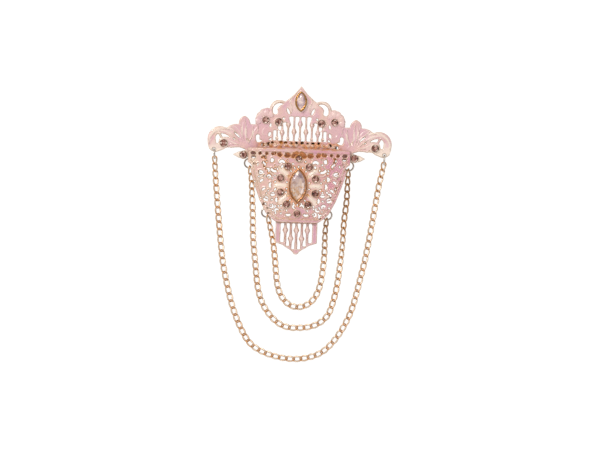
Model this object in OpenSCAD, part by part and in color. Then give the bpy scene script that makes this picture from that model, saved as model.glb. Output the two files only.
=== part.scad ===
// Brooch with a pierced crest, a domed pierced shield, set stones and three hanging chains.
// It lies on its back: +Z is up out of its face, +Y runs to the tip of the spade, and
// z = 0 is the surface that it rests on.

/* [Crest] */
// Width of the crest over its two volutes
crest_w = 84; // [78:1:90]
// Height of the crest from its foot to the tip of the spade
crest_h = 33; // [30:0.5:36]
// Height of the crest's foot above the middle of the centre stone
foot_y = 12.5; // [11:0.1:14]
// Height of the crest's back above the surface
lift = 4; // [3.6:0.1:5]
// Thickness of the cast plates
plate_t = 1.3; // [1.1:0.05:1.6]
// Height of the raised veins and rims
relief_h = 0.4; // [0.2:0.05:0.6]

/* [Shield] */
// Width of the shield at its top
shield_w = 46.6; // [44:0.2:50]
// Height of the shield from its bottom rim to the top of its band
shield_h = 32.4; // [30:0.2:35]
// Height of the shield's top edge above the middle of the centre stone
shield_top = 16.9; // [16:0.1:18]
// Rise of the dome above its two top corners
dome_rise = 3.5; // [2.5:0.1:5]
// Width in plan of the turned side wall
wall_w = 1.2; // [0.8:0.1:1.6]
// Depth of the turned side wall below the edge
wall_depth = 3; // [2.6:0.1:3.4]
// Height of the smooth band along the top
band_h = 1.6; // [1.2:0.1:2]

/* [Tab] */
// Width of the tab
tab_w = 19; // [17:0.5:21]
// Height of the tab below the shield's bottom rim
tab_h = 15.7; // [14:0.1:17]
// Depth of the tab's front below the dome's back
tab_step = 1; // [0.8:0.1:1.4]

/* [Lattice] */
// Spacing of the crest's lattice bars
crest_pitch = 2.7; // [2.6:0.05:2.8]
// Spacing of the tab's lattice bars
tab_pitch = 2.5; // [2.4:0.05:2.6]
// Width of a lattice bar
bar_w = 0.7; // [0.55:0.05:0.85]
// Width of a bead on a lattice bar
bead_w = 2; // [1.8:0.1:2.2]
// Length of a bead on a lattice bar
bead_l = 3.6; // [3.2:0.1:3.8]

/* [Stones] */
// Diameter of the large round stones
large_d = 3.1; // [2.8:0.1:3.3]
// Diameter of the cluster's round stones
cluster_d = 2.8; // [2.5:0.1:3]
// Diameter of the small round stones
small_d = 2.5; // [2.2:0.1:2.7]
// Length of the centre navette
centre_l = 14.4; // [13:0.2:15]
// Width of the centre navette
centre_w = 6.9; // [6:0.1:7.4]
// Length of the top navette
top_l = 8; // [7:0.1:8.6]
// Width of the top navette
top_w = 4; // [3.6:0.1:4.4]
// Radius of the ellipse of cluster stones, across
cluster_rx = 8.3; // [7.8:0.1:8.8]
// Radius of the ellipse of cluster stones, along
cluster_ry = 10.6; // [10:0.1:11]
// Height of a round stone's crown
crown_h = 0.5; // [0.35:0.05:0.6]
// Depth of a round stone below its girdle
pavilion_h = 0.85; // [0.7:0.05:0.95]
// Gap round a stone and round a bezel
fit = 0.06; // [0.04:0.01:0.1]
// Wall of a round setting
setting_wall = 0.35; // [0.25:0.05:0.45]
// Height of a round setting above its plate
setting_h = 0.55; // [0.4:0.05:0.7]
// Wall of a bezel
bezel_wall = 0.42; // [0.3:0.02:0.5]
// Height of a bezel
bezel_h = 2; // [1.8:0.1:2.4]

/* [Chains] */
// Outer length of a link
link_l = 4.9; // [4.7:0.05:5.1]
// Outer width of a link
link_w = 2.95; // [2.8:0.05:3.1]
// Thickness of a link's wire
link_wire = 0.72; // [0.65:0.01:0.76]
// Gap between two links where they hook
link_gap = 0.15; // [0.12:0.01:0.2]
// Outer diameter of a jump ring
ring_d = 5; // [4.8:0.1:5.4]
// Thickness of a jump ring's wire
ring_wire = 0.8; // [0.7:0.02:0.84]
// Height of the flat jump rings above the surface
ring_z = 1.6; // [1.5:0.05:1.8]

/* [Pin] */
// Length of the pin's base bar
pin_l = 34; // [30:1:38]
// Width of the pin's base bar
pin_bar_w = 3.4; // [3:0.1:4]
// Thickness of the pin's base bar
pin_bar_t = 0.8; // [0.6:0.1:1]
// Diameter of the pin's stem
pin_d = 1; // [0.8:0.05:1.2]

/* [Hidden] */
$fn = 48;
// Gap between two plates that lie on each other
lap = 0.1;
// Overlap that joins shapes of one casting
sink = 0.3;
// Finest curve, for the dome
dome_fn = 240;
// Length of a tool that cuts right through, and how far a flat one stands past what it cuts
cut = 12;
over = 1;

// Half width and height of the grids that the crest and the shield are charted on
crest_grid = [42, 33];
crest_grid_foot = 12.5;
shield_grid = [23.3, 32.4];
shield_grid_top = 16.9;
// Part of the crest's chart that holds the drop tips, which keep beside the shield's corners
drop_part = [31, 15.9];
crest_scale = crest_w / 2 / crest_grid[0];
drop_shift = shield_w / 2 - shield_grid[0] * crest_scale;

// Crest edge from the spade's tip down the right side: x, y, bulge to the next point
crest_edge = [
    [0, 45.5, -0.07], [6.2, 38.9, 0], [7.2, 38.2, 0.56], [14, 34.8, 0.3],
    [16.6, 34.7, 0.35], [18.6, 33.2, 0.35], [20, 31.1, 0.35], [20.3, 28.8, 0.25],
    [20.2, 27.3, 0.04], [22.6, 27.4, 0.28], [25.2, 31.1, 0.42], [28, 27.3, 0.24],
    [33.4, 25.3, 0.58], [42, 19.9, 0.11], [41, 15.4, 0.2], [37.8, 14.1, 0.12],
    [31.8, 17.3, 0], [31.3, 16.2, -0.06], [27, 16.6, 0.05], [24.4, 15.8, 0],
    [25.2, 15.2, 0.12], [29.7, 13.6, 1], [29.7, 13.1, 0.12], [25.6, 11.4, 0.12],
    [23.2, 12.5, 0], [0, 12.5, 0]
];

// Openings of the crest's right half, each as x, y and the bulge to its next point, all round
crest_holes = [
    [7.9, 37, 0.66, 12.6, 33.4, 0.9, 10.4, 33, 0.1, 10.7, 34.7, -0.24],
    [6.3, 35.4, 0.3, 4.9, 32.2, 0.3], [7.3, 31, 0.6, 8, 30, 0.6],
    [13.3, 28.2, 0.42, 13.7, 26.2, 0.42], [13.4, 24.2, 0.55, 14.1, 22, 0.5],
    [12.9, 21.4, 0.5, 13.8, 20.2, 0.5],
    [18.3, 22.3, 0.8, 20, 21.9, 0.15, 19.4, 19.3, 0.3, 16.9, 20.3, -0.1, 18.3, 20.5, -0.1],
    [30.8, 24.1, 0.08, 26.3, 20.1, 0.14],
    [31.2, 21.3, 0.1, 28.6, 19.4, 0.16], [24.6, 21.6, 0.14, 22.2, 18.4, 0.08],
    [31.7, 20.9, 0.28, 37, 22.5, 0.3, 38.3, 20.5, 0, 38, 18.6, 0.8, 36.9, 18.5, -0.1,
        36.3, 20.6, -0.22],
    [1.1, 19.7, 1, 1.9, 19.7, 1], [3.7, 19, 1, 4.4, 19, 1],
    [6, 19.5, 1, 6.8, 19.5, 1], [8.4, 20, 1, 9.1, 19.6, 1],
    [10.8, 19.2, 0.5, 11.4, 18, 0.5], [13.6, 19.4, 0.6, 14.4, 18.4, 0.6],
    [15.5, 18.5, 0.7, 16.2, 17.5, 0.7]
];

// Raised veins, scrolls and rims of the crest's right half, charted as the openings are
crest_relief = [
    [24.2, 18.6, 0.1, 25.3, 30, -0.03], [25, 19, -0.06, 27.2, 27.6, 0.14],
    [26, 19.4, 0.16, 32.2, 26.2, -0.09], [31.5, 24.2, 0.72, 41.2, 17.4, -0.56],
    [26.6, 18.4, 0.1, 31.8, 22.6, -0.02], [26.4, 17.6, 0.14, 31.4, 18, -0.04],
    [23.4, 18.4, 0.22, 21.4, 26.8, -0.12], [7.2, 37.6, 0.62, 13.4, 34.2, -0.46],
    [0.4, 44.6, -0.02, 5.6, 38.8, 0.1], [5.2, 38.2, -0.3, 4.4, 32.6, 0.18],
    [19.7, 27.6, -0.35, 19.5, 23.6, 0.14], [14.6, 32.4, 0.5, 18.8, 31.6, -0.36]
];

// Gaps of the crest lattice's right half: bar on the left, bar on the right, low and high end
crest_gaps = [[0, 1, 20.6, 31.2], [1, 2, 20.6, 31.2], [2, 3, 20.6, 28.4], [3, 4, 20.6, 27.2],
    [4, 5, 20.6, 24.8]];
// Bars of the crest lattice: distance from the middle in pitches, height of the bead
crest_bars = [[0, 28.3], [1, 24.6], [2, 28.2], [3, 24], [3.85, 22.4], [4.6, 0]];

// Round stones of the crest: name, x, y, diameter
crest_stones = [
    ["volute", 34.5, 18.3, large_d], ["inner", 9.7, 28.7, large_d],
    ["outer", 15.7, 29.4, cluster_d], ["drop", 25.3, 13.3, large_d]
];

// Shield edge from the middle of its top down the right side: x, y, bulge
shield_edge = [
    [0, 16.9, 0], [23.3, 16.7, 0], [23.3, 10.3, -0.12], [20.9, 8, 0.03],
    [18.6, 0, 0.06], [13.3, -12, 0.06], [9.4, -15.3, 0.1], [8.6, -15.5, 0], [0, -15.5, 0]
];

// Openings of the shield's right half, charted as the crest's are
shield_holes = [
    [1, 15, 0.55, 2.9, 13, -0.25], [4, 13.3, 0.7, 6.7, 13.3, 0.08],
    [8.4, 14.5, 0.5, 9.5, 13.3, 0.5], [10.7, 15.1, 0.45, 11, 13.7, 0.45],
    [14.3, 14.3, 0.8, 15.1, 14.3, 0.8], [17.2, 14.5, 0.6, 18.3, 14, 0.6],
    [20.2, 14.3, 0.55, 21.9, 14.2, -0.05], [20, 12.6, -0.1, 21.7, 12.6, 0.6],
    [6.3, 9.9, 0.95, 8.8, 9.9, -0.45], [11.6, 12.3, -0.5, 12.3, 10, 0.15],
    [7.2, 9.2, 0.6, 7.8, 7.8, 0.6], [9.9, 7.9, 0.4, 9.2, 6.6, 0.4],
    [12.1, 8.3, 0.85, 9.7, 6.1, -0.45], [16, 11, 0.25, 16.2, 9, 0.25],
    [18.3, 10, 0.3, 18.9, 8.4, 0.3], [20.3, 10, 0.35, 20.6, 8.8, 0.35],
    [13.3, 7.8, 0.4, 13.9, 6.6, 0.4], [15.9, 5.6, -0.9, 18.2, 6, 0.45],
    [13, 4.1, 0.3, 13.5, 2.5, 0.3], [11.8, 3.8, 0.25, 11.8, 2, 0.25],
    [10.2, 1.9, 0.6, 10.7, 1, 0.6], [15.7, 2.4, 0.8, 17.2, 0.9, -0.35],
    [12.2, 1.1, 0.8, 12.2, -1.4, -0.4], [9.6, -2, 0.5, 10.6, -1.4, 0.5],
    [14.5, -1.5, 0.75, 16.2, -2.9, -0.3], [13.2, -2.3, 0.6, 13.7, -3.1, 0.6],
    [10.3, -4, 0.75, 12.3, -4, -0.3], [9.3, -5.6, 0.9, 9.1, -7.7, -0.4],
    [13.2, -6.9, 0.95, 15.4, -5.9, -0.5],
    [11.2, -6.2, 0.5, 11.8, -7.2, 0.5], [7, -8.8, 0.6, 7.7, -9.7, 0.6],
    [9.6, -9, 0.3, 10.5, -10.7, 0.3], [12.7, -8.4, 0.3, 11.7, -9.9, 0.15],
    [4.6, -10.7, 0.4, 4.9, -12, 0.4], [2.8, -12.9, -0.85, 5.2, -12.9, 0.4],
    [7.2, -12.2, 0.5, 7.4, -13.3, 0.5], [9.6, -12.2, 0.5, 9.9, -13.3, 0.5]
];

// Raised scrolls of the shield's right half
shield_relief = [
    [5.4, 9.4, 0.95, 9.8, 9.4, -0.78], [13, 8, 0.8, 8.9, 5, -0.6],
    [15.2, 5.2, -0.85, 19, 6, 0.66], [11.4, 2, 0.9, 11.4, -2.4, -0.7],
    [8.4, -4.8, 0.9, 8.2, -8.6, -0.7], [12.2, -7.2, 0.9, 16, -5.2, -0.7],
    [2, -12.4, -0.85, 6.2, -12.4, 0.66], [14.8, 3.4, 0.8, 18.2, 0.8, -0.62]
];

// Edge of the tab's right half from its top: shares of its size
tab_edge = [[0, -0.05, 0], [1, -0.05, 0], [1, 0.66, 0], [0.62, 0.74, 0.06], [0.3, 0.86, -0.1],
    [0.1, 0.975, 0.3], [0, 1, 0]];
// Gaps of the tab's right half, its ends as shares of the tab's height from its top
tab_gaps = [[0, 1, 0.12, 0.83], [1, 2, 0.12, 0.74], [2, 3, 0.12, 0.64]];
tab_bars = [[0, 0.3], [1, 0.54], [2, 0.3], [3, 0]];

// Rays round the centre stone: how many, and how far the openings reach past the frame
ray_count = 18;
ray_l = 1.1;
ray_w = 0.55;
frame_wall = 0.9;

// Eyes behind the shield that the inner four jump rings hang in: x, y, turn in plan
eye_middle = [21, 10.9, 54];
eye_inner = [12.3, -11.3, 52];
eye_t = 1;
eye_w = 2;
eye_bore = 1.5;
// The hole through each volute that the outer ring hangs in
volute_hole = [38.8, 15.35];
volute_bore = 1.35;

// Chosen points of the three chains as they lie, from left to right
outer_route = [
    [-38.2, 8], [-37.5, 0], [-36.9, -5], [-36.4, -10], [-35.8, -15], [-35.2, -20],
    [-34.6, -25], [-33.9, -30], [-33.2, -35], [-32.2, -40], [-31, -45], [-29.7, -50],
    [-28.2, -55], [-26.4, -60], [-24.1, -65], [-21.3, -70], [-18.4, -73.3], [-15, -75.4],
    [-11.5, -76.9], [-5, -78.5], [2.1, -78.9], [9, -77.6], [14.4, -74.9], [19, -70],
    [22.3, -65], [24.8, -60], [26.7, -55], [28, -50], [29.1, -45], [30.2, -40],
    [31.3, -35], [32.2, -30], [33, -25], [33.8, -20], [34.5, -15], [35.2, -10],
    [35.9, -5], [36.6, 0], [37.5, 5]
];
middle_route = [
    [-21.4, 3], [-21.1, -1], [-20.8, -5], [-20.4, -10], [-20.1, -15], [-19.9, -20],
    [-19.6, -25], [-19, -30], [-18.3, -35], [-17.7, -40], [-17, -45], [-15.9, -50],
    [-14, -54.7], [-11.3, -58.6], [-7.9, -62], [-4.6, -64], [-0.8, -64.8], [2.9, -64.6],
    [7, -64.2], [11.2, -62.7], [14.4, -60.2], [16.3, -57.6], [17.3, -54.4], [18.6, -49.5],
    [19.4, -45], [20, -40], [20.5, -35], [21, -30], [21.3, -25], [21.4, -20],
    [21.6, -15], [22.1, -10], [22.5, -5], [22.5, 0], [22.6, 3.6]
];
inner_route = [
    [-12.2, -18.5], [-11.2, -22.5], [-10.4, -26], [-9.9, -29.5], [-9.3, -33.5],
    [-8.6, -40], [-8, -44.4], [-7, -48.2], [-5.5, -51], [-3.4, -53.3], [-0.9, -54.9],
    [2, -55.3], [4.9, -54.7], [7.6, -53], [9.7, -50.4], [11.2, -46.9], [12.1, -42.8],
    [12.6, -38.4], [13.1, -32.8], [13.2, -27.4], [13.1, -22.5], [13.2, -19]
];

// Hook: how far a link's bend reaches past the middle of the joint
pitch = link_l - 2 * link_wire - link_gap;
hook = (link_l - link_wire - pitch) / 2;

// The middle of the brooch with its chains, which the origin is set at
tip_y = foot_y + crest_h;
low_y = min([for (p = outer_route) p[1]]) - link_w / 2;
mid_y = (tip_y + low_y) / 2;

// Levels above the surface
crest_top = lift + plate_t;
rim_z = crest_top + lap;
shield_bottom = shield_top - shield_h;
dome_r = (pow(shield_w / 2, 2) + pow(dome_rise, 2)) / (2 * dome_rise);
dome_zc = rim_z + dome_rise - dome_r;
front_r = dome_r + plate_t;
tab_top = dome_zc + dome_r - tab_step;

// Where each jump ring lies: name, middle, tilt from flat, turn in plan, way its chain leaves
ring_r = (ring_d - ring_wire) / 2;
ring_mid = crest_top - plate_t / 2;
function ring_from(x, y, turn, z) =
    [x + ring_r * cos(turn), y + ring_r * sin(turn), z];
rings = [
    ["ring_outer_l", ring_from(-hang_x(), hang_y(), -84, ring_mid), 90, -84, -84],
    ["ring_outer_r", ring_from(hang_x(), hang_y(), -90, ring_mid), 90, -90, -90],
    ["ring_middle_l", ring_from(-eye_x(eye_middle), eye_y(eye_middle), 217, ring_z), 0, 0, -75],
    ["ring_middle_r", ring_from(eye_x(eye_middle), eye_y(eye_middle), -27, ring_z), 0, 0, -95],
    ["ring_inner_l", ring_from(-eye_x(eye_inner), eye_y(eye_inner), 215, ring_z), 0, 0, -66],
    ["ring_inner_r", ring_from(eye_x(eye_inner), eye_y(eye_inner), -45, ring_z), 0, 0, -92]
];
function hang_x() = crest_at(volute_hole)[0];
function hang_y() = crest_at(volute_hole)[1];
function eye_x(e) = shield_at(e)[0];
function eye_y(e) = shield_at(e)[1];

// How each chain rises to its rings: link number from the end, height of the joint, roll
lay_z = 0.91;
flat_start = [[0, ring_z, -45], [1, 1.5, -39], [2, 1.4, -34], [3, 1.3, -28], [4, 1.25, -22],
    [6, 1.12, -11], [8, lay_z, 0]];
hang_dip = 30;
hung_z = ring_mid - (ring_r - hook) * sin(hang_dip);
hung_start = [[0, hung_z, 36], [1, 2.7, 32], [2, 1.9, 27], [3, 1.4, 22], [4, 1.25, 18],
    [6, 1.05, 9], [8, lay_z, 0]];
// Where the chains are twisted: distance along them, extra roll, extra height
middle_twist = [[110, 0, 0], [118, 18, 0.28], [128, 38, 0.48], [136, 30, 0.42], [146, 0, 0]];
no_twist = [[0, 0, 0], [1, 0, 0]];
outer_twist = [[86, 0, 0], [100, 16, 0.25], [114, 0, 0]];

// Where a point of the crest's or the shield's chart lies
function crest_at(p) = [p[0] * crest_scale
        + (abs(p[0]) < drop_part[0] && p[1] < drop_part[1] ? sign(p[0]) * drop_shift : 0),
    foot_y + (p[1] - crest_grid_foot) * crest_h / crest_grid[1]];
function shield_at(p) = [p[0] * shield_w / 2 / shield_grid[0],
    shield_top + (p[1] - shield_grid_top) * shield_h / shield_grid[1]];
function tab_at(p) = [p[0] * tab_w / 2, shield_bottom - p[1] * tab_h];

// The arc from p towards q, whose middle stands out to the left by the bulge times half the chord
function arc(p, q, bulge) =
    let (c = q - p, side = [-c[1], c[0]], h = 2 * atan(bulge), n = max(2, ceil(abs(h) / 10)))
    bulge == 0 ? [p] : [for (i = [0:n - 1])
        let (f = -h + 2 * h * i / n)
        p + c * (sin(f) + sin(h)) / (2 * sin(h)) + side * (cos(f) - cos(h)) / (2 * sin(h))];

// The points of a half outline whose rows hold a point and the bulge to the next
function run(rows) = concat(
    [for (i = [0:len(rows) - 2]) each arc(xy(rows[i]), xy(rows[i + 1]), rows[i][2])],
    [xy(rows[len(rows) - 1])]
);
function xy(p) = [p[0], p[1]];
function placed(rows, at) = [for (r = rows) let (p = call(at, r)) [p[0], p[1], r[2]]];
function call(at, p) = at == "crest" ? crest_at(p) : at == "tab" ? tab_at(p) : shield_at(p);

// A closed outline from its flat row of x, y and bulge
function loop(r, at) = let (n = len(r) / 3,
    p = [for (i = [0:n - 1]) call(at, [r[3 * i], r[3 * i + 1]])])
    [for (i = [0:n - 1]) each arc(p[i], p[(i + 1) % n], r[3 * i + 2])];
function mirrored(p) = [for (q = p) [-q[0], q[1]]];
function halves(loops) = concat(loops, [for (l = loops) mirrored(l)]);

// The gap between two lattice bars, whose beads narrow it
function gap(left, right, low, high, step) = let (
        k = (bead_w - bar_w) / bead_l,
        x = [left[0] * step + bar_w / 2, right[0] * step - bar_w / 2],
        rise = beaded(x[0], low, high, left[1], -k), fall = beaded(x[1], low, high, right[1], -k),
        down = [for (i = [len(fall) - 1:-1:0]) [fall[i][0], fall[i][1], i > 0 ? fall[i - 1][2] : 0.3]])
    closed(concat([for (i = [0:len(rise) - 2]) rise[i]], [[x[0], high, 0.3]], down));
function beaded(x, low, high, bead, k) = concat([[x, low, 0]],
    bead - bead_l / 2 > low && bead + bead_l / 2 < high
        ? [[x, bead - bead_l / 2, k], [x, bead + bead_l / 2, 0]] : [], [[x, high, 0]]);
function closed(rows) = [for (i = [0:len(rows) - 1])
    each arc(xy(rows[i]), xy(rows[(i + 1) % len(rows)]), rows[i][2])];

function crest_y(y) = crest_at([0, y])[1];
function tab_y(share) = shield_bottom - share * tab_h;
crest_gap_loops = [for (g = crest_gaps) let (a = crest_bars[g[0]], b = crest_bars[g[1]])
    gap([a[0], crest_y(a[1])], [b[0], crest_y(b[1])], crest_y(g[2]), crest_y(g[3]),
        crest_pitch * crest_scale)];
tab_gap_loops = [for (g = tab_gaps) let (a = tab_bars[g[0]], b = tab_bars[g[1]])
    gap([a[0], tab_y(a[1])], [b[0], tab_y(b[1])], tab_y(g[3]), tab_y(g[2]), tab_pitch)];

module both() {
    children();
    mirror([1, 0, 0]) children();
}

// A flat shape from its outer loop and the loops of its openings
module pierced(loops) {
    starts = [for (i = 0, s = 0; i < len(loops); s = s + len(loops[i]), i = i + 1) s];
    polygon([for (l = loops) each l],
        [for (i = [0:len(loops) - 1]) [for (j = [0:len(loops[i]) - 1]) starts[i] + j]]);
}

function whole_outline(rows, at) = let (half = run(placed(rows, at)))
    concat(half, [for (i = [len(half) - 2:-1:1]) [-half[i][0], half[i][1]]]);

// Raised shapes, charted as the openings are
module lunes(rows, at) {
    for (r = rows) both() polygon(loop(r, at));
}

// The raised ring that holds a round stone, standing on a plate whose front is at z = 0
module setting(d) {
    translate([0, 0, -sink]) cylinder(d = d + 2 * (fit + setting_wall), h = sink + setting_h);
}

module seat(d) {
    translate([0, 0, girdle_z - pavilion_h - fit])
        cylinder(d = d + 2 * fit, h = cut);
}
girdle_z = 0.4;

// Places on the crest's front and square to the dome's front
module on_crest(p) {
    q = crest_at(p);
    translate([q[0], q[1], crest_top]) children();
}

module on_dome(x, y) {
    translate([0, y, dome_zc]) rotate([0, asin(x / front_r), 0]) translate([0, 0, front_r]) children();
}

// Angles of the eight stones of the cluster
cluster_turns = [18, 54, 126, 162, 198, 234, 306, 342];
function cluster_at(i) = let (a = cluster_turns[i - 1]) [cluster_rx * cos(a), cluster_ry * sin(a)];
// How far the stones above and below the cluster lie in from the shield's two ends
above_in = 4.6;
below_in = 2.9;
above_y = shield_top - above_in;
below_y = shield_bottom + below_in;
// Where the spade's stone lies on the crest's chart, and the pin's height on it
spade_stone = [0, 38.4];
pin_row = 18.7;

module crest_plate() color("#dfb6c0") translate([0, -mid_y, 0]) {
    difference() {
        union() {
            intersection() {
                translate([0, 0, lift - over]) linear_extrude(plate_t + 3 * over) pierced(concat(
                    [whole_outline(crest_edge, "crest")],
                    halves([for (r = crest_holes) loop(r, "crest")]), halves(crest_gap_loops)));
                union() {
                    translate([-crest_w, foot_y - crest_h, lift]) cube([2 * crest_w, 3 * crest_h, plate_t]);
                    for (r = crest_relief) both() translate([0, 0, crest_top - sink])
                        linear_extrude(sink + relief_h) polygon(loop(r, "crest"));
                }
            }
            both() for (s = crest_stones) on_crest([s[1], s[2]]) setting(s[3]);
            on_crest(spade_stone) translate([0, 0, -sink]) linear_extrude(sink + relief_h)
                navette(top_l + 2 * frame_wall, top_w + 2 * frame_wall);
        }
        both() for (s = crest_stones) on_crest([s[1], s[2]]) seat(s[3]);
        on_crest(spade_stone) bezel_seat(top_l, top_w);
        both() translate([hang_x(), hang_y(), 0]) cylinder(d = volute_bore, h = cut);
    }
}

// The lens between two points, and the outline of a boat-shaped stone of length l and width w
function lens(p, q, bulge) = concat(arc(p, q, bulge), arc(q, p, bulge));
module navette(l, w) {
    polygon(lens([0, -l / 2], [0, l / 2], w / l));
}

bezel_sink = 0.5;
module bezel_seat(l, w) {
    translate([0, 0, -bezel_sink - fit]) linear_extrude(cut)
        navette(l + 2 * (bezel_wall + 2 * fit), w + 2 * (bezel_wall + 2 * fit));
}

module bezel(l, w) {
    translate([0, 0, -bezel_sink]) difference() {
        linear_extrude(bezel_h) navette(l + 2 * (bezel_wall + fit), w + 2 * (bezel_wall + fit));
        translate([0, 0, bezel_floor]) linear_extrude(cut) navette(l + 2 * fit, w + 2 * fit);
    }
}
bezel_floor = 0.3;

// The domed, pierced front: a bent sheet with its raised scrolls, cut to the chart
module shield_shell() {
    intersection() {
        translate([0, 0, rim_z - over]) linear_extrude(dome_rise + plate_t + 3 * over) pierced(concat(
            [whole_outline(shield_edge, "shield")],
            halves([for (r = shield_holes) loop(r, "shield")]), rays));
        union() {
            bent(dome_r, front_r);
            intersection() {
                bent(front_r - sink, front_r + relief_h);
                translate([0, 0, rim_z - over]) linear_extrude(dome_rise + plate_t + 3 * over) {
                    lunes(shield_relief, "shield");
                    translate([-shield_w, shield_top - band_h - 0.1]) square([2 * shield_w, band_h]);
                    navette(centre_l + 2 * frame_wall, centre_w + 2 * frame_wall);
                }
            }
        }
    }
}

// A sheet bent across the shield, between two radii
module bent(inner, outer) {
    translate([0, 0, dome_zc]) rotate([90, 0, 0]) difference() {
        cylinder(r = outer, h = 4 * shield_h, center = true, $fn = dome_fn);
        cylinder(r = inner, h = 5 * shield_h, center = true, $fn = dome_fn);
    }
}

// Small openings that ray out from the centre stone's frame
rays = [for (i = [0:ray_count - 1]) let (a = 360 * (i + 0.5) / ray_count,
        p = [(centre_w / 2 + frame_wall + 0.3) * cos(a), (centre_l / 2 + frame_wall) * sin(a)],
        d = [2 * p[0], p[1]] / norm([2 * p[0], p[1]]))
    lens(p, p + ray_l * d, ray_w / ray_l)];

// The turned wall that runs down one side, along the bottom and up the other side
module side_wall() {
    edge = run(placed([for (i = [3:7]) shield_edge[i]], "shield"));
    path = concat(edge, [for (i = [len(edge) - 1:-1:0]) [-edge[i][0], edge[i][1]]]);
    m = len(path) - 1;
    out = [for (i = [0:m]) let (d = path[min(i + 1, m)] - path[max(i - 1, 0)]) [-d[1], d[0]] / norm(d)];
    intersection() {
        bent(front_r - wall_depth, front_r - sink);
        linear_extrude(cut) polygon(concat(
            [for (i = [0:m]) path[i] + wall_w * out[i]],
            [for (i = [m:-1:0]) path[i] - sink * out[i]]));
    }
}

// A solid skinned over rings of points, closed on itself or capped at both ends
module skin(rings, closed) {
    n = len(rings[0]);
    m = len(rings);
    sides = [for (i = [0:closed ? m - 1 : m - 2], j = [0:n - 1])
        let (next = ((i + 1) % m) * n, k = (j + 1) % n,
            a = i * n + j, b = i * n + k, c = next + k, d = next + j)
        each [[a, b, c], [a, c, d]]];
    caps = closed ? [] : [[for (j = [n - 1:-1:0]) j], [for (j = [0:n - 1]) (m - 1) * n + j]];
    polyhedron([for (r = rings) each r], concat(sides, caps), convexity = 6);
}

// A lug from the surface up into the shield's back, bored for its jump ring
module eye(e) {
    p = shield_at(e);
    back = dome_zc + sqrt(pow(dome_r, 2) - pow(p[0], 2));
    translate([p[0], p[1], 0]) rotate(e[2]) difference() {
        translate([-eye_t / 2, -eye_w / 2, 0]) cube([eye_t, eye_w, back + sink]);
        translate([0, 0, ring_z]) rotate([0, 90, 0]) cylinder(d = eye_bore, h = 2 * eye_t, center = true);
    }
}

module tab() {
    translate([0, 0, tab_top - plate_t]) linear_extrude(plate_t)
        pierced(concat([whole_outline(tab_edge, "tab")], halves(tab_gap_loops)));
}

module shield_plate() color("#dcb0bd") translate([0, -mid_y, 0]) {
    difference() {
        union() {
            shield_shell();
            for (i = [1:8]) on_dome(cluster_at(i)[0], cluster_at(i)[1]) setting(cluster_d);
            on_dome(0, above_y) setting(small_d);
            on_dome(0, below_y) setting(small_d);
            both() eye(eye_middle);
            both() eye(eye_inner);
            tab();
            side_wall();
        }
        for (i = [1:8]) on_dome(cluster_at(i)[0], cluster_at(i)[1]) seat(cluster_d);
        on_dome(0, above_y) seat(small_d);
        on_dome(0, below_y) seat(small_d);
        on_dome(0, 0) bezel_seat(centre_l, centre_w);
    }
}

// The hidden pin: a base bar under the crest, a hinge block and a catch that reach the surface
module pin_back() color("#b98a4e") translate([0, -mid_y, 0]) {
    pin_y = crest_at([0, pin_row])[1];
    bar_z = lift - lap - pin_bar_t;
    stem_z = bar_z * 0.45;
    block = 2.4;
    translate([-pin_l / 2, pin_y - pin_bar_w / 2, bar_z]) cube([pin_l, pin_bar_w, pin_bar_t]);
    for (x = [-pin_l / 2 + block / 2 + 0.6, pin_l / 2 - block / 2 - 0.6])
        translate([x - block / 2, pin_y - block / 2, 0]) cube([block, block, bar_z + sink]);
    translate([-pin_l / 2 + block, pin_y, stem_z]) rotate([0, 90, 0])
        cylinder(d = pin_d, h = pin_l - 2 * block);
}

module bezel_centre() color("#c58a55") translate([0, -mid_y, 0])
    on_dome(0, 0) bezel(centre_l, centre_w);

module bezel_top() color("#c58a55") translate([0, -mid_y, 0])
    on_crest(spade_stone) bezel(top_l, top_w);

// A cut stone from its girdle's outline and its table's, with the girdle at z = 0
module gem(girdle, table, crown, pavilion) {
    n = len(girdle);
    edge = 0.12;
    points = concat(
        [for (p = table) [each p, crown]],
        [for (p = girdle) [each p, edge / 2]],
        [for (p = girdle) [each p, -edge / 2]],
        [[0, 0, -pavilion]]
    );
    polyhedron(points, concat(
        [[for (j = [n - 1:-1:0]) j]],
        [for (j = [0:n - 1]) [j, n + (j + 1) % n, n + j]],
        [for (j = [0:n - 1]) [j, (j + 1) % n, n + (j + 1) % n]],
        [for (j = [0:n - 1]) [n + j, n + (j + 1) % n, 2 * n + (j + 1) % n, 2 * n + j]],
        [for (j = [0:n - 1]) [2 * n + j, 2 * n + (j + 1) % n, 3 * n]]
    ));
}

module round_stone(d) {
    n = 8;
    translate([0, 0, girdle_z]) gem(
        [for (j = [0:n - 1]) d / 2 * [cos(360 * j / n), sin(360 * j / n)]],
        [for (j = [0:n - 1]) d * 0.29 * [cos(360 * (j + 0.5) / n), sin(360 * (j + 0.5) / n)]],
        crown_h, pavilion_h - fit);
}

// A point of a navette's outline, with u from 0 to 1 round it
function navette_at(l, w, u) =
    let (b = w / l, h = 2 * atan(b), v = u < 0.5 ? 4 * u - 1 : 3 - 4 * u, s = u < 0.5 ? 1 : -1)
    [s * l * (cos(v * h) - cos(h)) / (2 * sin(h)), l / 2 * sin(v * h) / sin(h)];

module navette_stone(l, w, crown, pavilion) {
    n = 12;
    gem([for (j = [n - 1:-1:0]) navette_at(l, w, j / n)],
        [for (j = [n - 1:-1:0]) navette_at(l * 0.58, w * 0.56, (j - 0.5 + n) % n / n)],
        crown, pavilion);
}
navette_girdle = 1.1;

module navette_centre() color("#d9c6c4") translate([0, -mid_y, 0])
    on_dome(0, 0) translate([0, 0, navette_girdle])
        navette_stone(centre_l, centre_w, 0.9, navette_girdle + bezel_sink - bezel_floor - fit);

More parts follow.
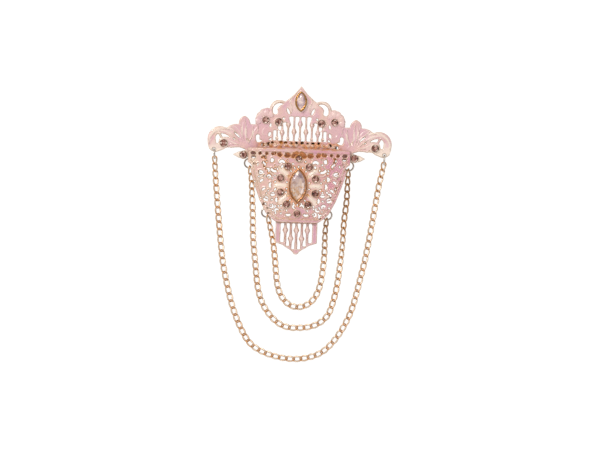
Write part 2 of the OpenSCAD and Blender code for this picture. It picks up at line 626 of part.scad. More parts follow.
module navette_top() color("#d9c6c4") translate([0, -mid_y, 0])
    on_crest(spade_stone) translate([0, 0, navette_girdle])
        navette_stone(top_l, top_w, 0.7, navette_girdle + bezel_sink - bezel_floor - fit);

// The first joint of a chain in its ring, which dips where the ring stands
function start_of(r, dip) = xy(r[1] + (ring_r - hook - lap / 2) * cos(dip) * [cos(r[4]), sin(r[4]), 0]);
outer_points = concat([start_of(rings[0], hang_dip)], outer_route, [start_of(rings[1], hang_dip)]);
middle_points = concat([start_of(rings[2], 0)], middle_route, [start_of(rings[3], 0)]);
inner_points = concat([start_of(rings[4], 0)], inner_route, [start_of(rings[5], 0)]);

// A smooth curve through chosen points
function curve(p, steps) = [for (i = [0:len(p) - 2], k = [0:steps - 1])
    let (a = p[max(i - 1, 0)], b = p[i], c = p[i + 1], d = p[min(i + 2, len(p) - 1)], t = k / steps)
    b + t * (c - a) / 2 + t * t * (a - 2.5 * b + 2 * c - d / 2)
        + t * t * t * (1.5 * b - a / 2 - 1.5 * c + d / 2)
];
function lengths(p) = [for (i = 0, s = 0; i < len(p);
    s = s + (i + 1 < len(p) ? norm(p[i + 1] - p[i]) : 0), i = i + 1) s];

// The joints along a route: as many whole links as fit, spread evenly between its two ends
function joints(points, start, end, twist) = let (
        plan = concat(curve(points, 6), [points[len(points) - 1]]),
        s = lengths(plan),
        m = len(plan) - 1,
        path = [for (i = [0:m]) [each plan[i], raise(s[i], twist)
            + max(height(s[i], start), height(s[m] - s[i], end))]],
        l = lengths(path),
        n = round(l[m] / pitch))
    [for (k = [0:n]) [for (axis = [0:2]) lookup(k * l[m] / n, [for (i = [0:m]) [l[i], path[i][axis]]])]];
function height(s, rows) = lookup(s / pitch, [for (r = rows) [r[0], r[1]]]);
function roll_of(k, rows) = lookup(k, [for (r = rows) [r[0], r[2]]]);
function raise(s, twist) = lookup(s, [for (r = twist) [r[0], r[2]]]);

// One link's rings of points between two joints, twisted by a quarter turn along its length
function link(a, b, roll) =
    let (d = (b - a) / norm(b - a), side = [-d[1], d[0], 0] / norm([d[0], d[1]]), up = cross(d, side),
        mid = (a + b) / 2, hl = (link_l - link_wire) / 2, hw = (link_w - link_wire) / 2)
    [for (i = [0:9]) let (t = 36 * i + 18, c = cos(t), s = sin(t),
            x = hl * sign(c) * pow(abs(c) / cos(18), 0.85), w = hw * sign(s) * pow(abs(s), 0.62),
            r = roll + 45 * x / hl, across = cos(r) * side + sin(r) * up,
            n = [c * hw, s * hl] / norm([c * hw, s * hl]), out = n[0] * d + n[1] * across,
            flat = cross(d, across))
        [for (j = [0:4]) mid + x * d + w * across
            + link_wire / 2 * (cos(72 * j) * out + sin(72 * j) * flat)]];

module chain(points, low_start, low_end, end_roll, twist) {
    j = joints(points, low_start, low_end, twist);
    n = len(j) - 2;
    for (k = [0:n]) {
        roll = roll_of(k, low_start) + end_roll * roll_of(n - k, low_end)
            + lookup(k * pitch, [for (r = twist) [r[0], r[1]]]);
        skin(link(j[k], j[k + 1], roll), true);
    }
}
module chain_outer() color("#d8b08c") translate([0, -mid_y, 0])
    chain(outer_points, hung_start, hung_start, -1, outer_twist);

module chain_middle() color("#d8b08c") translate([0, -mid_y, 0])
    chain(middle_points, flat_start, flat_start, -1, middle_twist);

module chain_inner() color("#d8b08c") translate([0, -mid_y, 0])
    chain(inner_points, flat_start, flat_start, -1, no_twist);

module jump_ring(r) color("#c9a07a") translate([0, -mid_y, 0])
    translate(r[1]) rotate(r[3]) rotate([r[2], 0, 0])
        rotate_extrude() translate([ring_r, 0]) circle(d = ring_wire, $fn = 24);

module crest_stone(s, h) color("#b98478") translate([0, -mid_y, 0])
    on_crest([(h == "l" ? -1 : 1) * s[1], s[2]]) round_stone(s[3]);

module dome_stone(x, y, d) color("#b98478") translate([0, -mid_y, 0])
    on_dome(x, y) round_stone(d);

crest_plate();
shield_plate();
pin_back();
bezel_centre();
bezel_top();
navette_centre();
navette_top();
chain_outer();
chain_middle();
chain_inner();
for (r = rings) jump_ring(r);
for (s = crest_stones, h = ["l", "r"])
    crest_stone(s, h);
for (i = [1:8])
    dome_stone(cluster_at(i)[0], cluster_at(i)[1], cluster_d);
dome_stone(0, above_y, small_d);  // stone_above
dome_stone(0, below_y, small_d);  // stone_below
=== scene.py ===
"""Looks of a lapel chain brooch: pearly rose enamel, gilt bezels, cut stones and curb chains."""
import math
import random

import bpy
import numpy as np
from bpy.props import FloatProperty, FloatVectorProperty, PointerProperty
from mathutils import Matrix, Vector
from mathutils.kdtree import KDTree


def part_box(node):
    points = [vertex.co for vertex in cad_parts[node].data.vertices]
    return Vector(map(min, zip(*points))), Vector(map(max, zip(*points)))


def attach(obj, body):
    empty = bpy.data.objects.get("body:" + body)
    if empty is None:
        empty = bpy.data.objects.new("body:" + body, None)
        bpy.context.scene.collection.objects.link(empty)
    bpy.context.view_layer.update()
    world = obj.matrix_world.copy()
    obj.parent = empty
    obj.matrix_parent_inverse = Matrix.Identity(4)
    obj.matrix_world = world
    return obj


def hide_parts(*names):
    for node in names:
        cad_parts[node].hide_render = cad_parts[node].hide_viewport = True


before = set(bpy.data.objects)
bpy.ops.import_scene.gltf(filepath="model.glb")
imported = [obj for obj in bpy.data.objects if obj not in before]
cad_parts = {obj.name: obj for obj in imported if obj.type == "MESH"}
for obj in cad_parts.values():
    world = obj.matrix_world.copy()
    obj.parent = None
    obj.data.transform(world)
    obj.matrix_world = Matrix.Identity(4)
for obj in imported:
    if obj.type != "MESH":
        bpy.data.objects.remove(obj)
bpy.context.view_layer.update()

bl_info = {
    "name": "Lapel chain brooch",
    "version": (1, 0, 0),
    "blender": (4, 5, 0),
    "location": "View3D > Sidebar > Brooch",
    "description": "Dresses a pierced brooch with enamel, gilding, cut stones and curb chains",
    "category": "Object",
}

MM = 0.001


def middle_of(node):
    """The middle of a solid's box, seen from above."""
    low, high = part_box(node)
    return (low[0] + high[0]) / 2, (low[1] + high[1]) / 2


# Heights and curves that the castings were made to, in metres
CREST_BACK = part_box("crest_plate")[0][2]
PLATE = 1.3 * MM
CREST_FRONT = CREST_BACK + PLATE
DOME_FRONT = 80.6 * MM
DOME_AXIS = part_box("shield_plate")[1][2] - 0.55 * MM - DOME_FRONT
TAB_BACK = DOME_AXIS + DOME_FRONT - 3.6 * MM
BAR_SINK = 0.3 * MM
STONE_SEAT = 0.4 * MM
CENTRE_Y = middle_of("bezel_centre")[1]
TAB_EDGE = CENTRE_Y - 16.8 * MM

# Places in millimetres from the middle of the centre stone
BAND_EDGE = 14.6
GROUND_EDGE = -15.2
FLORET = (15.7, 29.4)
PETAL_OVAL = (8.3, 10.6)

# Angles of the petals round the centre stone, between its cluster stones
PETALS = (0, 36, 144, 180, 216, 324)
ROUND_STONES = sorted(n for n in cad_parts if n.startswith("stone_"))

# Faces left in each casting, so that it stays under 200,000 triangles
CASTING_FACES = 92000


# Working by hand

def alone(*pieces):
    """Leaves only these pieces selected, the last of them active."""
    active = bpy.context.view_layer.objects.active
    if active and active.mode != "OBJECT":
        bpy.ops.object.mode_set(mode="OBJECT")
    bpy.ops.object.select_all(action="DESELECT")
    for piece in pieces:
        piece.select_set(True)
        bpy.context.view_layer.objects.active = piece


def placed(name, data):
    """A new object in the scene, at the origin."""
    made = bpy.data.objects.new(name, data)
    bpy.context.scene.collection.objects.link(made)
    return made


def added(primitive, **settings):
    """Adds a primitive with nothing else selected."""
    bpy.ops.object.select_all(action="DESELECT")
    primitive(**settings)
    return bpy.context.object


def edit_all(piece):
    """Opens a piece in edit mode with all of it selected."""
    alone(piece)
    bpy.ops.object.mode_set(mode="EDIT")
    bpy.ops.mesh.select_all(action="SELECT")


def finish_with(piece, kind, **settings):
    """Puts one modifier on a piece and applies it."""
    alone(piece)
    bpy.ops.object.modifier_add(type=kind)
    modifier = piece.modifiers[-1]
    for name, value in settings.items():
        setattr(modifier, name, value)
    bpy.ops.object.modifier_apply(modifier=modifier.name)


def shade_soft(piece):
    """Shades a piece smooth all over."""
    alone(piece)
    bpy.ops.object.shade_smooth()


def melt(piece, grain, passes):
    """Rounds a small solid all over, as casting and polishing do."""
    finish_with(piece, "REMESH", mode="VOXEL", voxel_size=grain)
    finish_with(piece, "SMOOTH", factor=0.5, iterations=passes)
    shade_soft(piece)


def joined(piece, extras):
    """Joins the extras to a piece."""
    alone(*extras, piece)
    bpy.ops.object.join()
    return piece


def cast_of(node, name):
    """A merged copy of a solid, as the start of the piece that stands for it."""
    piece = placed(name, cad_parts[node].data.copy())
    piece.data.name = name
    piece.data.materials.clear()
    edit_all(piece)
    bpy.ops.mesh.remove_doubles(threshold=1e-7)
    bpy.ops.mesh.customdata_custom_splitnormals_clear()
    bpy.ops.object.mode_set(mode="OBJECT")
    return piece


def settle(piece, slot, material, *nodes):
    """Gives a piece its finish, its body and the solids that it stands for."""
    piece.data.materials.clear()
    piece.data.materials.append(material)
    alone(piece)
    bpy.ops.object.transform_apply(location=True, rotation=True, scale=True)
    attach(piece, "root")
    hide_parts(*nodes)


def points_of(mesh):
    """Places of a mesh's points, one row each."""
    flat = np.empty(len(mesh.vertices) * 3, np.float32)
    mesh.vertices.foreach_get("co", flat)
    return flat.reshape(-1, 3)


def normals_of(mesh):
    """Which way a mesh faces at its points, one row each."""
    flat = np.empty(len(mesh.vertices) * 3, np.float32)
    mesh.vertex_normals.foreach_get("vector", flat)
    return flat.reshape(-1, 3)


def paint(mesh, name, values, domain="POINT"):
    """Stores one number for each point or face, which the material reads."""
    if name in mesh.attributes:
        mesh.attributes.remove(mesh.attributes[name])
    mesh.attributes.new(name, "FLOAT", domain).data.foreach_set("value", np.asarray(values, np.float32))


def wall_tree(points, wall):
    """The walls' points laid flat, to measure how far off the nearest wall is in plan."""
    tree = KDTree(int(wall.sum()))
    for i, place in enumerate(points[wall] * (1, 1, 0)):
        tree.insert(place, i)
    tree.balance()
    return tree


def rim_distance(points, wall, most):
    """How far each point lies in plan from the nearest wall of an opening or an edge."""
    tree = wall_tree(points, wall)
    return np.array([min(most, tree.find(place)[2]) for place in points * (1, 1, 0)], np.float32)


# Finishes

def shade(colour, amount):
    """A darker or lighter form of a colour."""
    return tuple(min(1, part * amount) for part in colour)


class Socket:
    """One socket of a material, so that shader maths is written as arithmetic."""

    def __init__(self, finish, link):
        self.finish, self.link = finish, link

    def math(self, operation, *others):
        """A Math node on this socket and the others."""
        return self.finish.node("ShaderNodeMath", {"operation": operation}, dict(enumerate((self, *others))))

    def before(self, operation, first):
        """A Math node that has this socket second."""
        return self.finish.node("ShaderNodeMath", {"operation": operation}, {0: first, 1: self})

    def __add__(self, other): return self.math("ADD", other)
    def __radd__(self, other): return self.math("ADD", other)
    def __sub__(self, other): return self.math("SUBTRACT", other)
    def __rsub__(self, other): return self.before("SUBTRACT", other)
    def __mul__(self, other): return self.math("MULTIPLY", other)
    def __rmul__(self, other): return self.math("MULTIPLY", other)
    def __truediv__(self, other): return self.math("DIVIDE", other)
    def __rtruediv__(self, other): return self.before("DIVIDE", other)
    def __abs__(self): return self.math("ABSOLUTE")

    def at_most(self, limit):
        """This value, but never more than the limit."""
        return self.math("MINIMUM", limit)

    def step(self, low, high):
        """0 below low, 1 above high and smooth between them."""
        return self.finish.node("ShaderNodeMapRange", {"interpolation_type": "SMOOTHSTEP"},
                                {"Value": self, "From Min": low, "From Max": high})


class Finish:
    """A material under construction."""

    def __init__(self, name):
        self.material = bpy.data.materials.new(name)
        self.material.use_nodes = True
        self.tree = self.material.node_tree
        self.shader = self.tree.nodes["Principled BSDF"]
        self.place = self.node("ShaderNodeTexCoord", {}, {}, "Object")

    def feed(self, socket, value):
        """Links a socket, or sets its plain value."""
        if isinstance(value, Socket):
            self.tree.links.new(value.link, socket)
        else:
            socket.default_value = (*value, 1) if socket.type == "RGBA" else value

    def node(self, kind, settings, values, output=0):
        """A node with its settings made first and then its sockets' values or links."""
        made = self.tree.nodes.new(kind)
        for name, value in settings.items():
            setattr(made, name, value)
        for name, value in values.items():
            self.feed(made.inputs[name], value)
        return Socket(self, made.outputs[output])

    def wear(self, **sockets):
        """Sets the shader's sockets, a link for what varies and a plain value for the rest."""
        for name, value in sockets.items():
            self.feed(self.shader.inputs[name.replace("_", " ")], value)
        return self.material

    def noise(self, scale, detail=3.0, rough=0.5, shift=0.0):
        """Cloudy variation; a shift gives a pattern of its own."""
        where = self.node("ShaderNodeVectorMath", {"operation": "ADD"}, {0: self.place, 1: (shift, shift, shift)})
        return self.node("ShaderNodeTexNoise", {}, {"Vector": where, "Scale": scale, "Detail": detail,
                                                    "Roughness": rough})

    def cells(self, scale):
        """Small flat patches, each with a number of its own."""
        made = self.node("ShaderNodeTexVoronoi", {"distance": "MANHATTAN"},
                         {"Vector": self.place, "Scale": scale}, 1)
        return self.node("ShaderNodeSeparateColor", {}, {0: made})

    def attribute(self, name):
        """What paint stored under this name."""
        return self.node("ShaderNodeAttribute", {"attribute_name": name}, {}, "Fac")

    def axis(self, index):
        """The place along one axis, in metres."""
        return self.node("ShaderNodeSeparateXYZ", {}, {0: self.place}, index)

    def blend(self, factor, first, second):
        """From one colour to another."""
        return self.node("ShaderNodeMix", {"data_type": "RGBA"}, {0: factor, 6: first, 7: second}, 2)

    def bump(self, height, distance, strength):
        """Fine relief that only the light shows."""
        return self.node("ShaderNodeBump", {}, {"Height": height, "Distance": distance, "Strength": strength})

    def rightward(self, low, high):
        """0 to 1 across the brooch, in millimetres from its middle line."""
        return self.axis(0).step(low * MM, high * MM)

    def outward(self, low, high):
        """0 to 1 away from the middle line to both sides, in millimetres."""
        return abs(self.axis(0)).step(low * MM, high * MM)

    def upward(self, low, high):
        """0 to 1 up the brooch, in millimetres from the middle of the centre stone."""
        return self.axis(1).step(CENTRE_Y + low * MM, CENTRE_Y + high * MM)

    def oval(self, up, width, height):
        """1 on an oval of this half width and height, and less inside it; up places its middle."""
        x, y = self.axis(0) / (width * MM), (self.axis(1) - (CENTRE_Y + up * MM)) / (height * MM)
        return x * x + y * y


def rose_enamel(look, name, cool, warm, cream, gilded):
    """Pearly enamel with lilac and peach clouds, rubbed to champagne on its rims, gilt in its openings."""
    f = Finish(name)
    edge, wall, rub = f.attribute("rim"), f.attribute("wall"), f.noise(700, 4, 0.6, 0.1)
    depth = 0.78 if warm else 1.0
    ground = (look.rose[0] * (0.6 + 0.4 * depth), look.rose[1] * depth, look.rose[2] * depth)
    colour = f.blend(f.noise(150, 3, 0.6).step(0.44, 0.6) * 0.5, ground, look.peach)
    colour = f.blend(f.noise(95, 2, 0.5, 0.3).step(0.44, 0.58) * cool, colour, look.lilac)
    # Paler to the left, deeper to the right, cooler on the tab
    colour = f.blend((1 - f.rightward(-18, 6)) * warm, colour, look.champagne)
    colour = f.blend(f.rightward(1, 16) * (warm * 1.7), colour, look.deep_rose)
    colour = f.blend((1 - f.upward(-16.5, -14.5)) * 0.35, colour, look.lilac)
    # Nearly bare on ribs, petals, tips and rims
    colour = f.blend(f.attribute("rib") * (rub * 0.6 + 0.35), colour, look.cream)
    colour = f.blend(cream(f, rub), colour, look.cream)
    worn = (edge * (rub * 1.1 + 0.2)).at_most(1.0)
    colour = f.blend(worn * 0.8, colour, f.blend(rub.step(0.45, 0.6), look.champagne, look.cream))
    # Gold in spots and hollows, brown on the openings' walls and most of all in the dome's
    colour = f.blend(f.noise(380, 3, 0.6, 0.9).step(0.5, 0.64) * edge * 0.6, colour, look.gilt)
    old_gold = f.blend(rub.step(0.5, 0.64) * 0.75, look.deep_gilt, shade(look.deep_gilt, 0.25))
    colour = f.blend(gilded(f, rub), colour, old_gold)
    dome = f.upward(-17.5, -16.5) * (1 - f.upward(15.5, 16.5))
    patina = f.blend(rub.step(0.45, 0.65), look.edge_brown, look.gilt)
    colour = f.blend(wall * (dome * 0.3 + 0.45), colour, patina)
    return f.wear(Base_Color=colour, Roughness=f.noise(420, 3) * 0.16 + 0.22 + wall * 0.06,
                  Metallic=(worn * 0.3 + wall * 0.2).at_most(1.0), Coat_Weight=0.35, Coat_Roughness=0.12,
                  Normal=f.bump(f.noise(2600, 2) + f.noise(900, 3) * 1.5, 0.00004, 0.5))


def tip_cream(f, rub):
    """The drop tips, the arches' tops and the scrolled ends are cream rather than rose."""
    tips = f.outward(22.8, 24.5) * (1 - f.upward(15.2, 16))
    arches = f.upward(30, 37) * f.noise(180, 2, 0.5, 0.4).step(0.42, 0.6)
    scrolls = f.outward(28, 35) * f.noise(140, 2, 0.5, 0.6).step(0.38, 0.58)
    return (tips * 0.8 + arches * 0.5 + scrolls * 0.75 + f.attribute("rim") * 0.2).at_most(0.9)


def petal_cream(f, rub):
    """Cream petals lie between the stones round the centre."""
    return (f.attribute("petal") * (rub * 0.5 + 0.6)).at_most(0.9)


def foot_gilding(f, rub):
    """The crest's foot is gilt under the shield and brown-gold in the beaded row above it."""
    under = 1 - f.upward(16.6, 17.2)
    row = f.upward(16.6, 17.2) * (1 - f.upward(19.2, 20.8))
    spots = f.noise(520, 2, 0.5, 0.5).step(0.44, 0.58)
    return (1 - f.outward(16.5, 22.2)) * (under * 0.85 + row * (spots * 0.55 + 0.25)).at_most(1.0)


def frame_gilding(f, rub):
    """Gold shows round the centre stone, round the top stone and in patches between the scrolls."""
    rim = f.attribute("rim")
    ring = 1 - f.oval(0, 5.2, 9.4).step(0.85, 1.15)
    arch = (1 - f.oval(12.5, 3.4, 3.4).step(0.7, 1.2)) * f.upward(11.5, 13.5)
    row = f.upward(12, 12.8) * (1 - f.upward(15.1, 15.6)) * (1 - f.outward(9.5, 12.5)) * rim
    # Clear of the shield's sloping sides and of its foot
    inside = ((f.axis(1) - CENTRE_Y) * 0.36 + 13.6 * MM - abs(f.axis(0))).step(0, 1.2 * MM) * f.upward(-15.5, -14.5)
    patch = f.noise(300, 3, 0.6, 0.7).step(0.53, 0.59) * rim.step(0.25, 0.6) * inside
    edge = rim * (1 - rim) * 3 * f.noise(200, 2, 0.5, 0.2).step(0.42, 0.52) * inside
    return (ring * rub * 0.75 + arch * (rim * 0.8 + 0.1) + row * 0.7 + patch * 0.7 + edge * 0.3).at_most(1.0)


def gilt(name, colour, rough):
    """Gilded brass with faint drawing marks and tone."""
    f = Finish(name)
    tone = f.blend(f.noise(600, 3, 0.6).step(0.4, 0.65) * 0.35, colour, shade(colour, 0.72))
    return f.wear(Base_Color=tone, Metallic=0.95, Roughness=f.noise(900, 3) * 0.14 + rough,
                  Normal=f.bump(f.noise(3000, 3), 0.00002, 0.35))


def chain_metal(look):
    """Pale rose gilt on a link's sides, darker gold where the links hook into each other."""
    f = Finish("chain_gilt")
    hooked = f.attribute("hook").step(0.42, 0.86)
    deep = f.blend(f.noise(500, 3, 0.6).step(0.4, 0.62), look.hook_gold, shade(look.hook_gold, 0.7))
    sides = f.blend(f.noise(70, 2, 0.5, 0.2).step(0.5, 0.66) * 0.3, look.chain, look.hook_gold)
    colour = f.blend(hooked, sides, deep)
    colour = f.blend(f.attribute("side") * (0.85 - hooked * 0.6), colour, look.side_tarnish)
    # Older and darker at the upper right of the two inner chains
    old = f.rightward(10, 14) * (1 - f.rightward(28, 31)) * f.upward(-30, -16)
    colour = f.blend(old * 0.6, colour, shade(look.hook_gold, 0.6))
    return f.wear(Base_Color=colour, Metallic=0.5 - hooked * 0.3, Roughness=f.noise(800, 3) * 0.12 + 0.3,
                  Normal=f.bump(f.noise(2500, 2), 0.00002, 0.3))


def pin_metal(look):
    """Dark brown bronze with a little gold left on it."""
    f = Finish("pin_bronze")
    left = f.noise(260, 3, 0.6, 0.2).step(0.5, 0.58)
    colour = f.blend(left, (0.035, 0.018, 0.012), look.deep_gilt)
    return f.wear(Base_Color=colour, Metallic=0.8, Roughness=f.noise(900, 3) * 0.14 + 0.25,
                  Normal=f.bump(f.noise(3000, 3), 0.00002, 0.35))


def cut_glass(name, tones, flash, cell, warm=None):
    """A foiled stone: each facet throws back its own tone, broken up by the facets seen through it."""
    f = Finish(name)
    dark, mid, light = tones
    tone = f.attribute("facet") * 0.55 + f.cells(cell) * 0.55
    colour = f.blend(tone.step(0.15, 0.5), dark, mid)
    colour = f.blend(tone.step(0.5, 0.8), colour, light)
    if warm:
        # The foil glows amber from the low end up, with a few dark specks in it
        low, high, amber = warm
        glow = f.blend(f.cells(cell * 1.7).step(0.3, 0.8), amber, light)
        colour = f.blend((1 - f.axis(1).step(low, high)) * 0.85, colour, glow)
        specks = (1 - f.axis(1).step(low, low * 0.3 + high * 0.7)) * f.noise(900, 1).step(0.62, 0.66)
        colour = f.blend(specks * 0.8, colour, shade(dark, 0.35))
    colour = f.blend(f.attribute("facet").step(0.82, 0.88) * 0.7, colour, flash)
    return f.wear(Base_Color=colour, Metallic=0.2, Roughness=f.noise(400) * 0.05 + 0.05, Coat_Weight=0.35,
                  Coat_Roughness=0.02, IOR=1.5)


# Shaping the castings

def soften(piece, height_of, roll, lip, reach, voxel, rim, pits=None):
    """Turns a sawn plate into a cast one: remeshed, its edges rolled over with a lip, its ground pitted."""
    finish_with(piece, "REMESH", mode="VOXEL", voxel_size=voxel, adaptivity=0.0)
    mesh = piece.data
    p, n = points_of(mesh), normals_of(mesh)
    h = height_of(p)
    d = rim_distance(p, (np.abs(n[:, 2]) < 0.6) & (h < 0.85 * PLATE), 4 * reach)
    t = 1 - np.clip(d / reach, 0, 1)
    round_over = 1 - np.sqrt(np.clip(1 - t * t, 0, 1))
    up = np.clip((h - 0.3 * PLATE) / (0.7 * PLATE), 0, 1)
    rise = lip * np.exp(-((d - 0.62 * reach) / (0.36 * reach)) ** 2)
    shift = np.where(n[:, 2] > -0.3, (rise - roll * round_over) * up, 0.0)
    if pits is not None:
        shift = shift - np.where(n[:, 2] > 0.6, pits(p, d), 0.0)
    p[:, 2] += shift
    mesh.vertices.foreach_set("co", p.ravel())
    mesh.update()
    finish_with(piece, "SMOOTH", factor=0.5, iterations=2)
    finish_with(piece, "DECIMATE", ratio=min(1.0, CASTING_FACES / len(mesh.polygons)))
    mark_casting(piece.data, height_of, reach, rim)
    shade_soft(piece)


def mark_casting(mesh, height_of, reach, rim):
    """Marks a casting's rims, raised ribs, steep walls and petals for the enamel."""
    p, n = points_of(mesh), normals_of(mesh)
    h = height_of(p)
    d = rim_distance(p, (np.abs(n[:, 2]) < 0.5) & (h < 0.7 * PLATE), 4 * reach)
    paint(mesh, "rim", np.where(n[:, 2] > 0, np.exp(-(d / rim) ** 2), 0.4))
    raised = np.clip((h - 1.05 * PLATE) / (0.1 * PLATE), 0, 1)
    floret = np.hypot(np.abs(p[:, 0]) - FLORET[0] * MM, p[:, 1] - CENTRE_Y - FLORET[1] * MM) < 5.5 * MM
    band = (p[:, 2] > CREST_BACK + 2 * PLATE) & (p[:, 1] > CENTRE_Y + BAND_EDGE * MM)
    raised = np.where(band, 0.0, raised) * np.where(floret, 0.35, 1.0)
    paint(mesh, "rib", np.where(n[:, 2] > 0.3, raised, 0.0))
    steep = np.clip((0.82 - n[:, 2]) / 0.35, 0, 1)
    paint(mesh, "wall", steep * np.where(h < 0.75 * PLATE, 1.0, 0.75))
    x, y = p[:, 0] / (PETAL_OVAL[0] * MM), (p[:, 1] - CENTRE_Y) / (PETAL_OVAL[1] * MM)
    turn, out = np.degrees(np.arctan2(y, x)), np.hypot(x, y)
    petal = np.zeros(len(p))
    for angle in PETALS:
        off = np.abs((turn - angle + 180) % 360 - 180)
        petal = np.maximum(petal, np.clip(1.3 - off / 9, 0, 1))
    petal *= np.clip((out - 0.5) / 0.12, 0, 1) * np.clip((1.42 - out) / 0.2, 0, 1)
    paint(mesh, "petal", np.where(n[:, 2] > 0.3, petal, 0))


def ground_pits(p, d):
    """Small round punch marks between the scrolls, clear of the band, the stones and the rims."""
    apart, radius, row_height = 1.05 * MM, 0.36 * MM, 0.866
    x, y = p[:, 0], p[:, 1] - CENTRE_Y
    row = np.round(y / (apart * row_height))
    shift = np.mod(row, 2) * 0.5 * apart
    column = np.round((x - shift) / apart)
    jitter = np.sin(row * 12.9898 + column * 78.233) * 0.16 * MM
    dx, dy = x - (column * apart + shift) - jitter, y - row * apart * row_height - jitter * 0.6
    mark = np.clip(1 - (dx ** 2 + dy ** 2) / radius ** 2, 0, 1)
    clear = (d > 0.3 * MM) & (y < BAND_EDGE * MM) & (y > GROUND_EDGE * MM)
    clear &= (x > 13.5 * MM) | (y < -12.5 * MM)
    clear &= (x / (5.4 * MM)) ** 2 + (y / (9.6 * MM)) ** 2 > 1
    for stone in ROUND_STONES:
        cx, cy = middle_of(stone)
        clear &= (x - cx) ** 2 + (p[:, 1] - cy) ** 2 > (2.0 * MM) ** 2
    return np.where(clear, mark * 0.3 * MM, 0.0)


def bead(centre, radius, squash):
    """A small raised grain, rounded on all sides."""
    made = added(bpy.ops.mesh.primitive_ico_sphere_add, subdivisions=2, radius=radius, location=centre)
    made.scale = (1, 1, squash)
    bpy.ops.object.transform_apply(location=True, rotation=True, scale=True)
    return made


def ridge(points, radius):
    """A raised wire along points, as a curve turned to a mesh; a point is x, y, z and thickness."""
    curve = bpy.data.curves.new("ridge", "CURVE")
    curve.dimensions, curve.bevel_depth, curve.bevel_resolution = "3D", radius, 2
    curve.use_fill_caps = True
    spline = curve.splines.new("NURBS")
    spline.points.add(len(points) - 1)
    for point, place in zip(spline.points, points):
        point.co = (*place[:3], 1)
        point.radius = place[3]
    spline.use_endpoint_u, spline.order_u, spline.resolution_u = True, 3, 5
    alone(placed("ridge", curve))
    bpy.ops.object.convert(target="MESH")
    return bpy.context.object


# Grains of the crest's right half, in millimetres from the centre stone: petals, row beads, bar feet
CREST_GRAINS = [(15.7 + 3.4 * math.cos(math.radians(a)), 29.4 + 3.4 * math.sin(math.radians(a)), 1.5)
                for a in (-10, 25, 60, 95, 130)]
CREST_GRAINS += [(1.6 + 2.3 * k, 18.3, 0.95) for k in range(7)]
CREST_GRAINS += [(x, 21.4, 0.85) for x in (0, 5.4, 10.4)]

# Raised wires of the crest's right half: x, y, thickness
CREST_WIRES = [
    [(21.6, 17.6, 0.4), (24.1, 20.3, 1), (25.1, 23.2, 1.1), (24.7, 25.8, 0.9), (23.8, 27, 0.4)],
    [(25.4, 22, 0.4), (26.2, 23.8, 0.9), (26.4, 26.1, 1), (25.7, 28.6, 0.4)],
    [(26, 21, 0.4), (27.4, 24, 0.8), (29.5, 26, 0.8), (31, 26.4, 0.4)],
    [(26.7, 21.4, 0.4), (29.3, 24, 0.8), (32.4, 25.3, 0.9), (34.5, 25.2, 0.4)],
    [(28.1, 19.4, 0.4), (30.6, 22, 0.8), (33.6, 23.7, 1), (36.7, 24.3, 1.1), (39.3, 22.9, 1.1), (40.9, 20.4, 1),
     (40.7, 18, 0.5)],
    [(26.8, 17.7, 0.4), (29.6, 18.4, 0.9), (32, 19.5, 1), (33.2, 20.4, 0.4)],
    [(27.4, 17.1, 0.3), (30.2, 17, 0.8), (33.4, 16.4, 0.6)],
    [(21.2, 18.4, 0.3), (21.4, 21.4, 0.8), (20.9, 24.6, 0.9), (19.2, 26.6, 0.4)],
    [(14.6, 33.6, 0.4), (16.6, 33.3, 0.9), (18.4, 31.4, 0.9), (19, 29, 0.4)],
    [(1, 43.6, 0.4), (3.4, 40.6, 0.8), (5.2, 38.6, 0.8), (4.6, 36.4, 0.7), (3.9, 33.4, 0.4)],
    [(8.6, 24.4, 0.3), (11.8, 26.4, 0.8), (12, 29.4, 0.6)],
    [(15.4, 26.8, 0.3), (17.4, 24.4, 0.8), (16.4, 22.2, 0.8), (14.8, 22.8, 0.3)]
]
# Thick bands of the crest's right half, as deep as the plate: the arch's ring and the volute's bridge
CREST_BANDS = [
    [(6.6, 37.2, 1.2), (9.6, 38.5, 1.6), (12.3, 37.5, 1.7), (13.7, 34.8, 1.7), (13.4, 32.4, 1.4)],
    [(34.8, 19.2, 1.4), (35.7, 21, 1.2), (36.9, 23.2, 1.5)]
]
# Bars of the two lattices with the beads they swell into: x, y, thickness
CREST_BARS = [[(x, 20.4, 1.05), (x, bead - 2, 1.05), (x, bead - 1, 1.5), (x, bead, 3.1), (x, bead + 1, 1.5),
               (x, min(bead + 2, top), 1.05), (x, top, 1.05)]
              for x, bead, top in ((0, 28.1, 31.2), (2.7, 24.5, 31.2), (5.4, 27.8, 30.4), (8.1, 24, 27.2))]
TAB_BARS = [[(x, -17.2, 1.3), (x, bead + 2, 1.3), (x, bead + 1, 1.9), (x, bead, 3.3), (x, bead - 1, 1.9),
             (x, bead - 2, 1.3), (x, foot, 1.3)]
            for x, bead, foot in ((0, -20.2, -29.4), (2.5, -24, -28.4), (5, -20.2, -26.8))]
TAB_BARS += [[(0, -24.6, 1.1), (0, -26.8, 2.2), (0, -29.4, 1.1)], [(5, -23.4, 1.1), (5, -25.2, 2), (5, -27, 1.1)]]

# Larger holes drilled in the crest's foot row, where the dark pin bar shows: x, y, radius
FOOT_HOLES = [(-8.4, 19.6, 0.65), (-6.3, 19.3, 0.75), (1.2, 19.6, 0.7), (-16.6, 18.2, 0.7), (17, 17.9, 0.7),
              (-12.4, 19.2, 0.6), (-10.7, 18.8, 0.5), (-14.3, 18.5, 0.6), (-3.7, 19.1, 0.5), (-1.3, 19.5, 0.5),
              (3.7, 19.1, 0.5), (6, 19.4, 0.5), (8.7, 19.6, 0.5), (11.2, 18.7, 0.5), (14, 18.7, 0.6)]
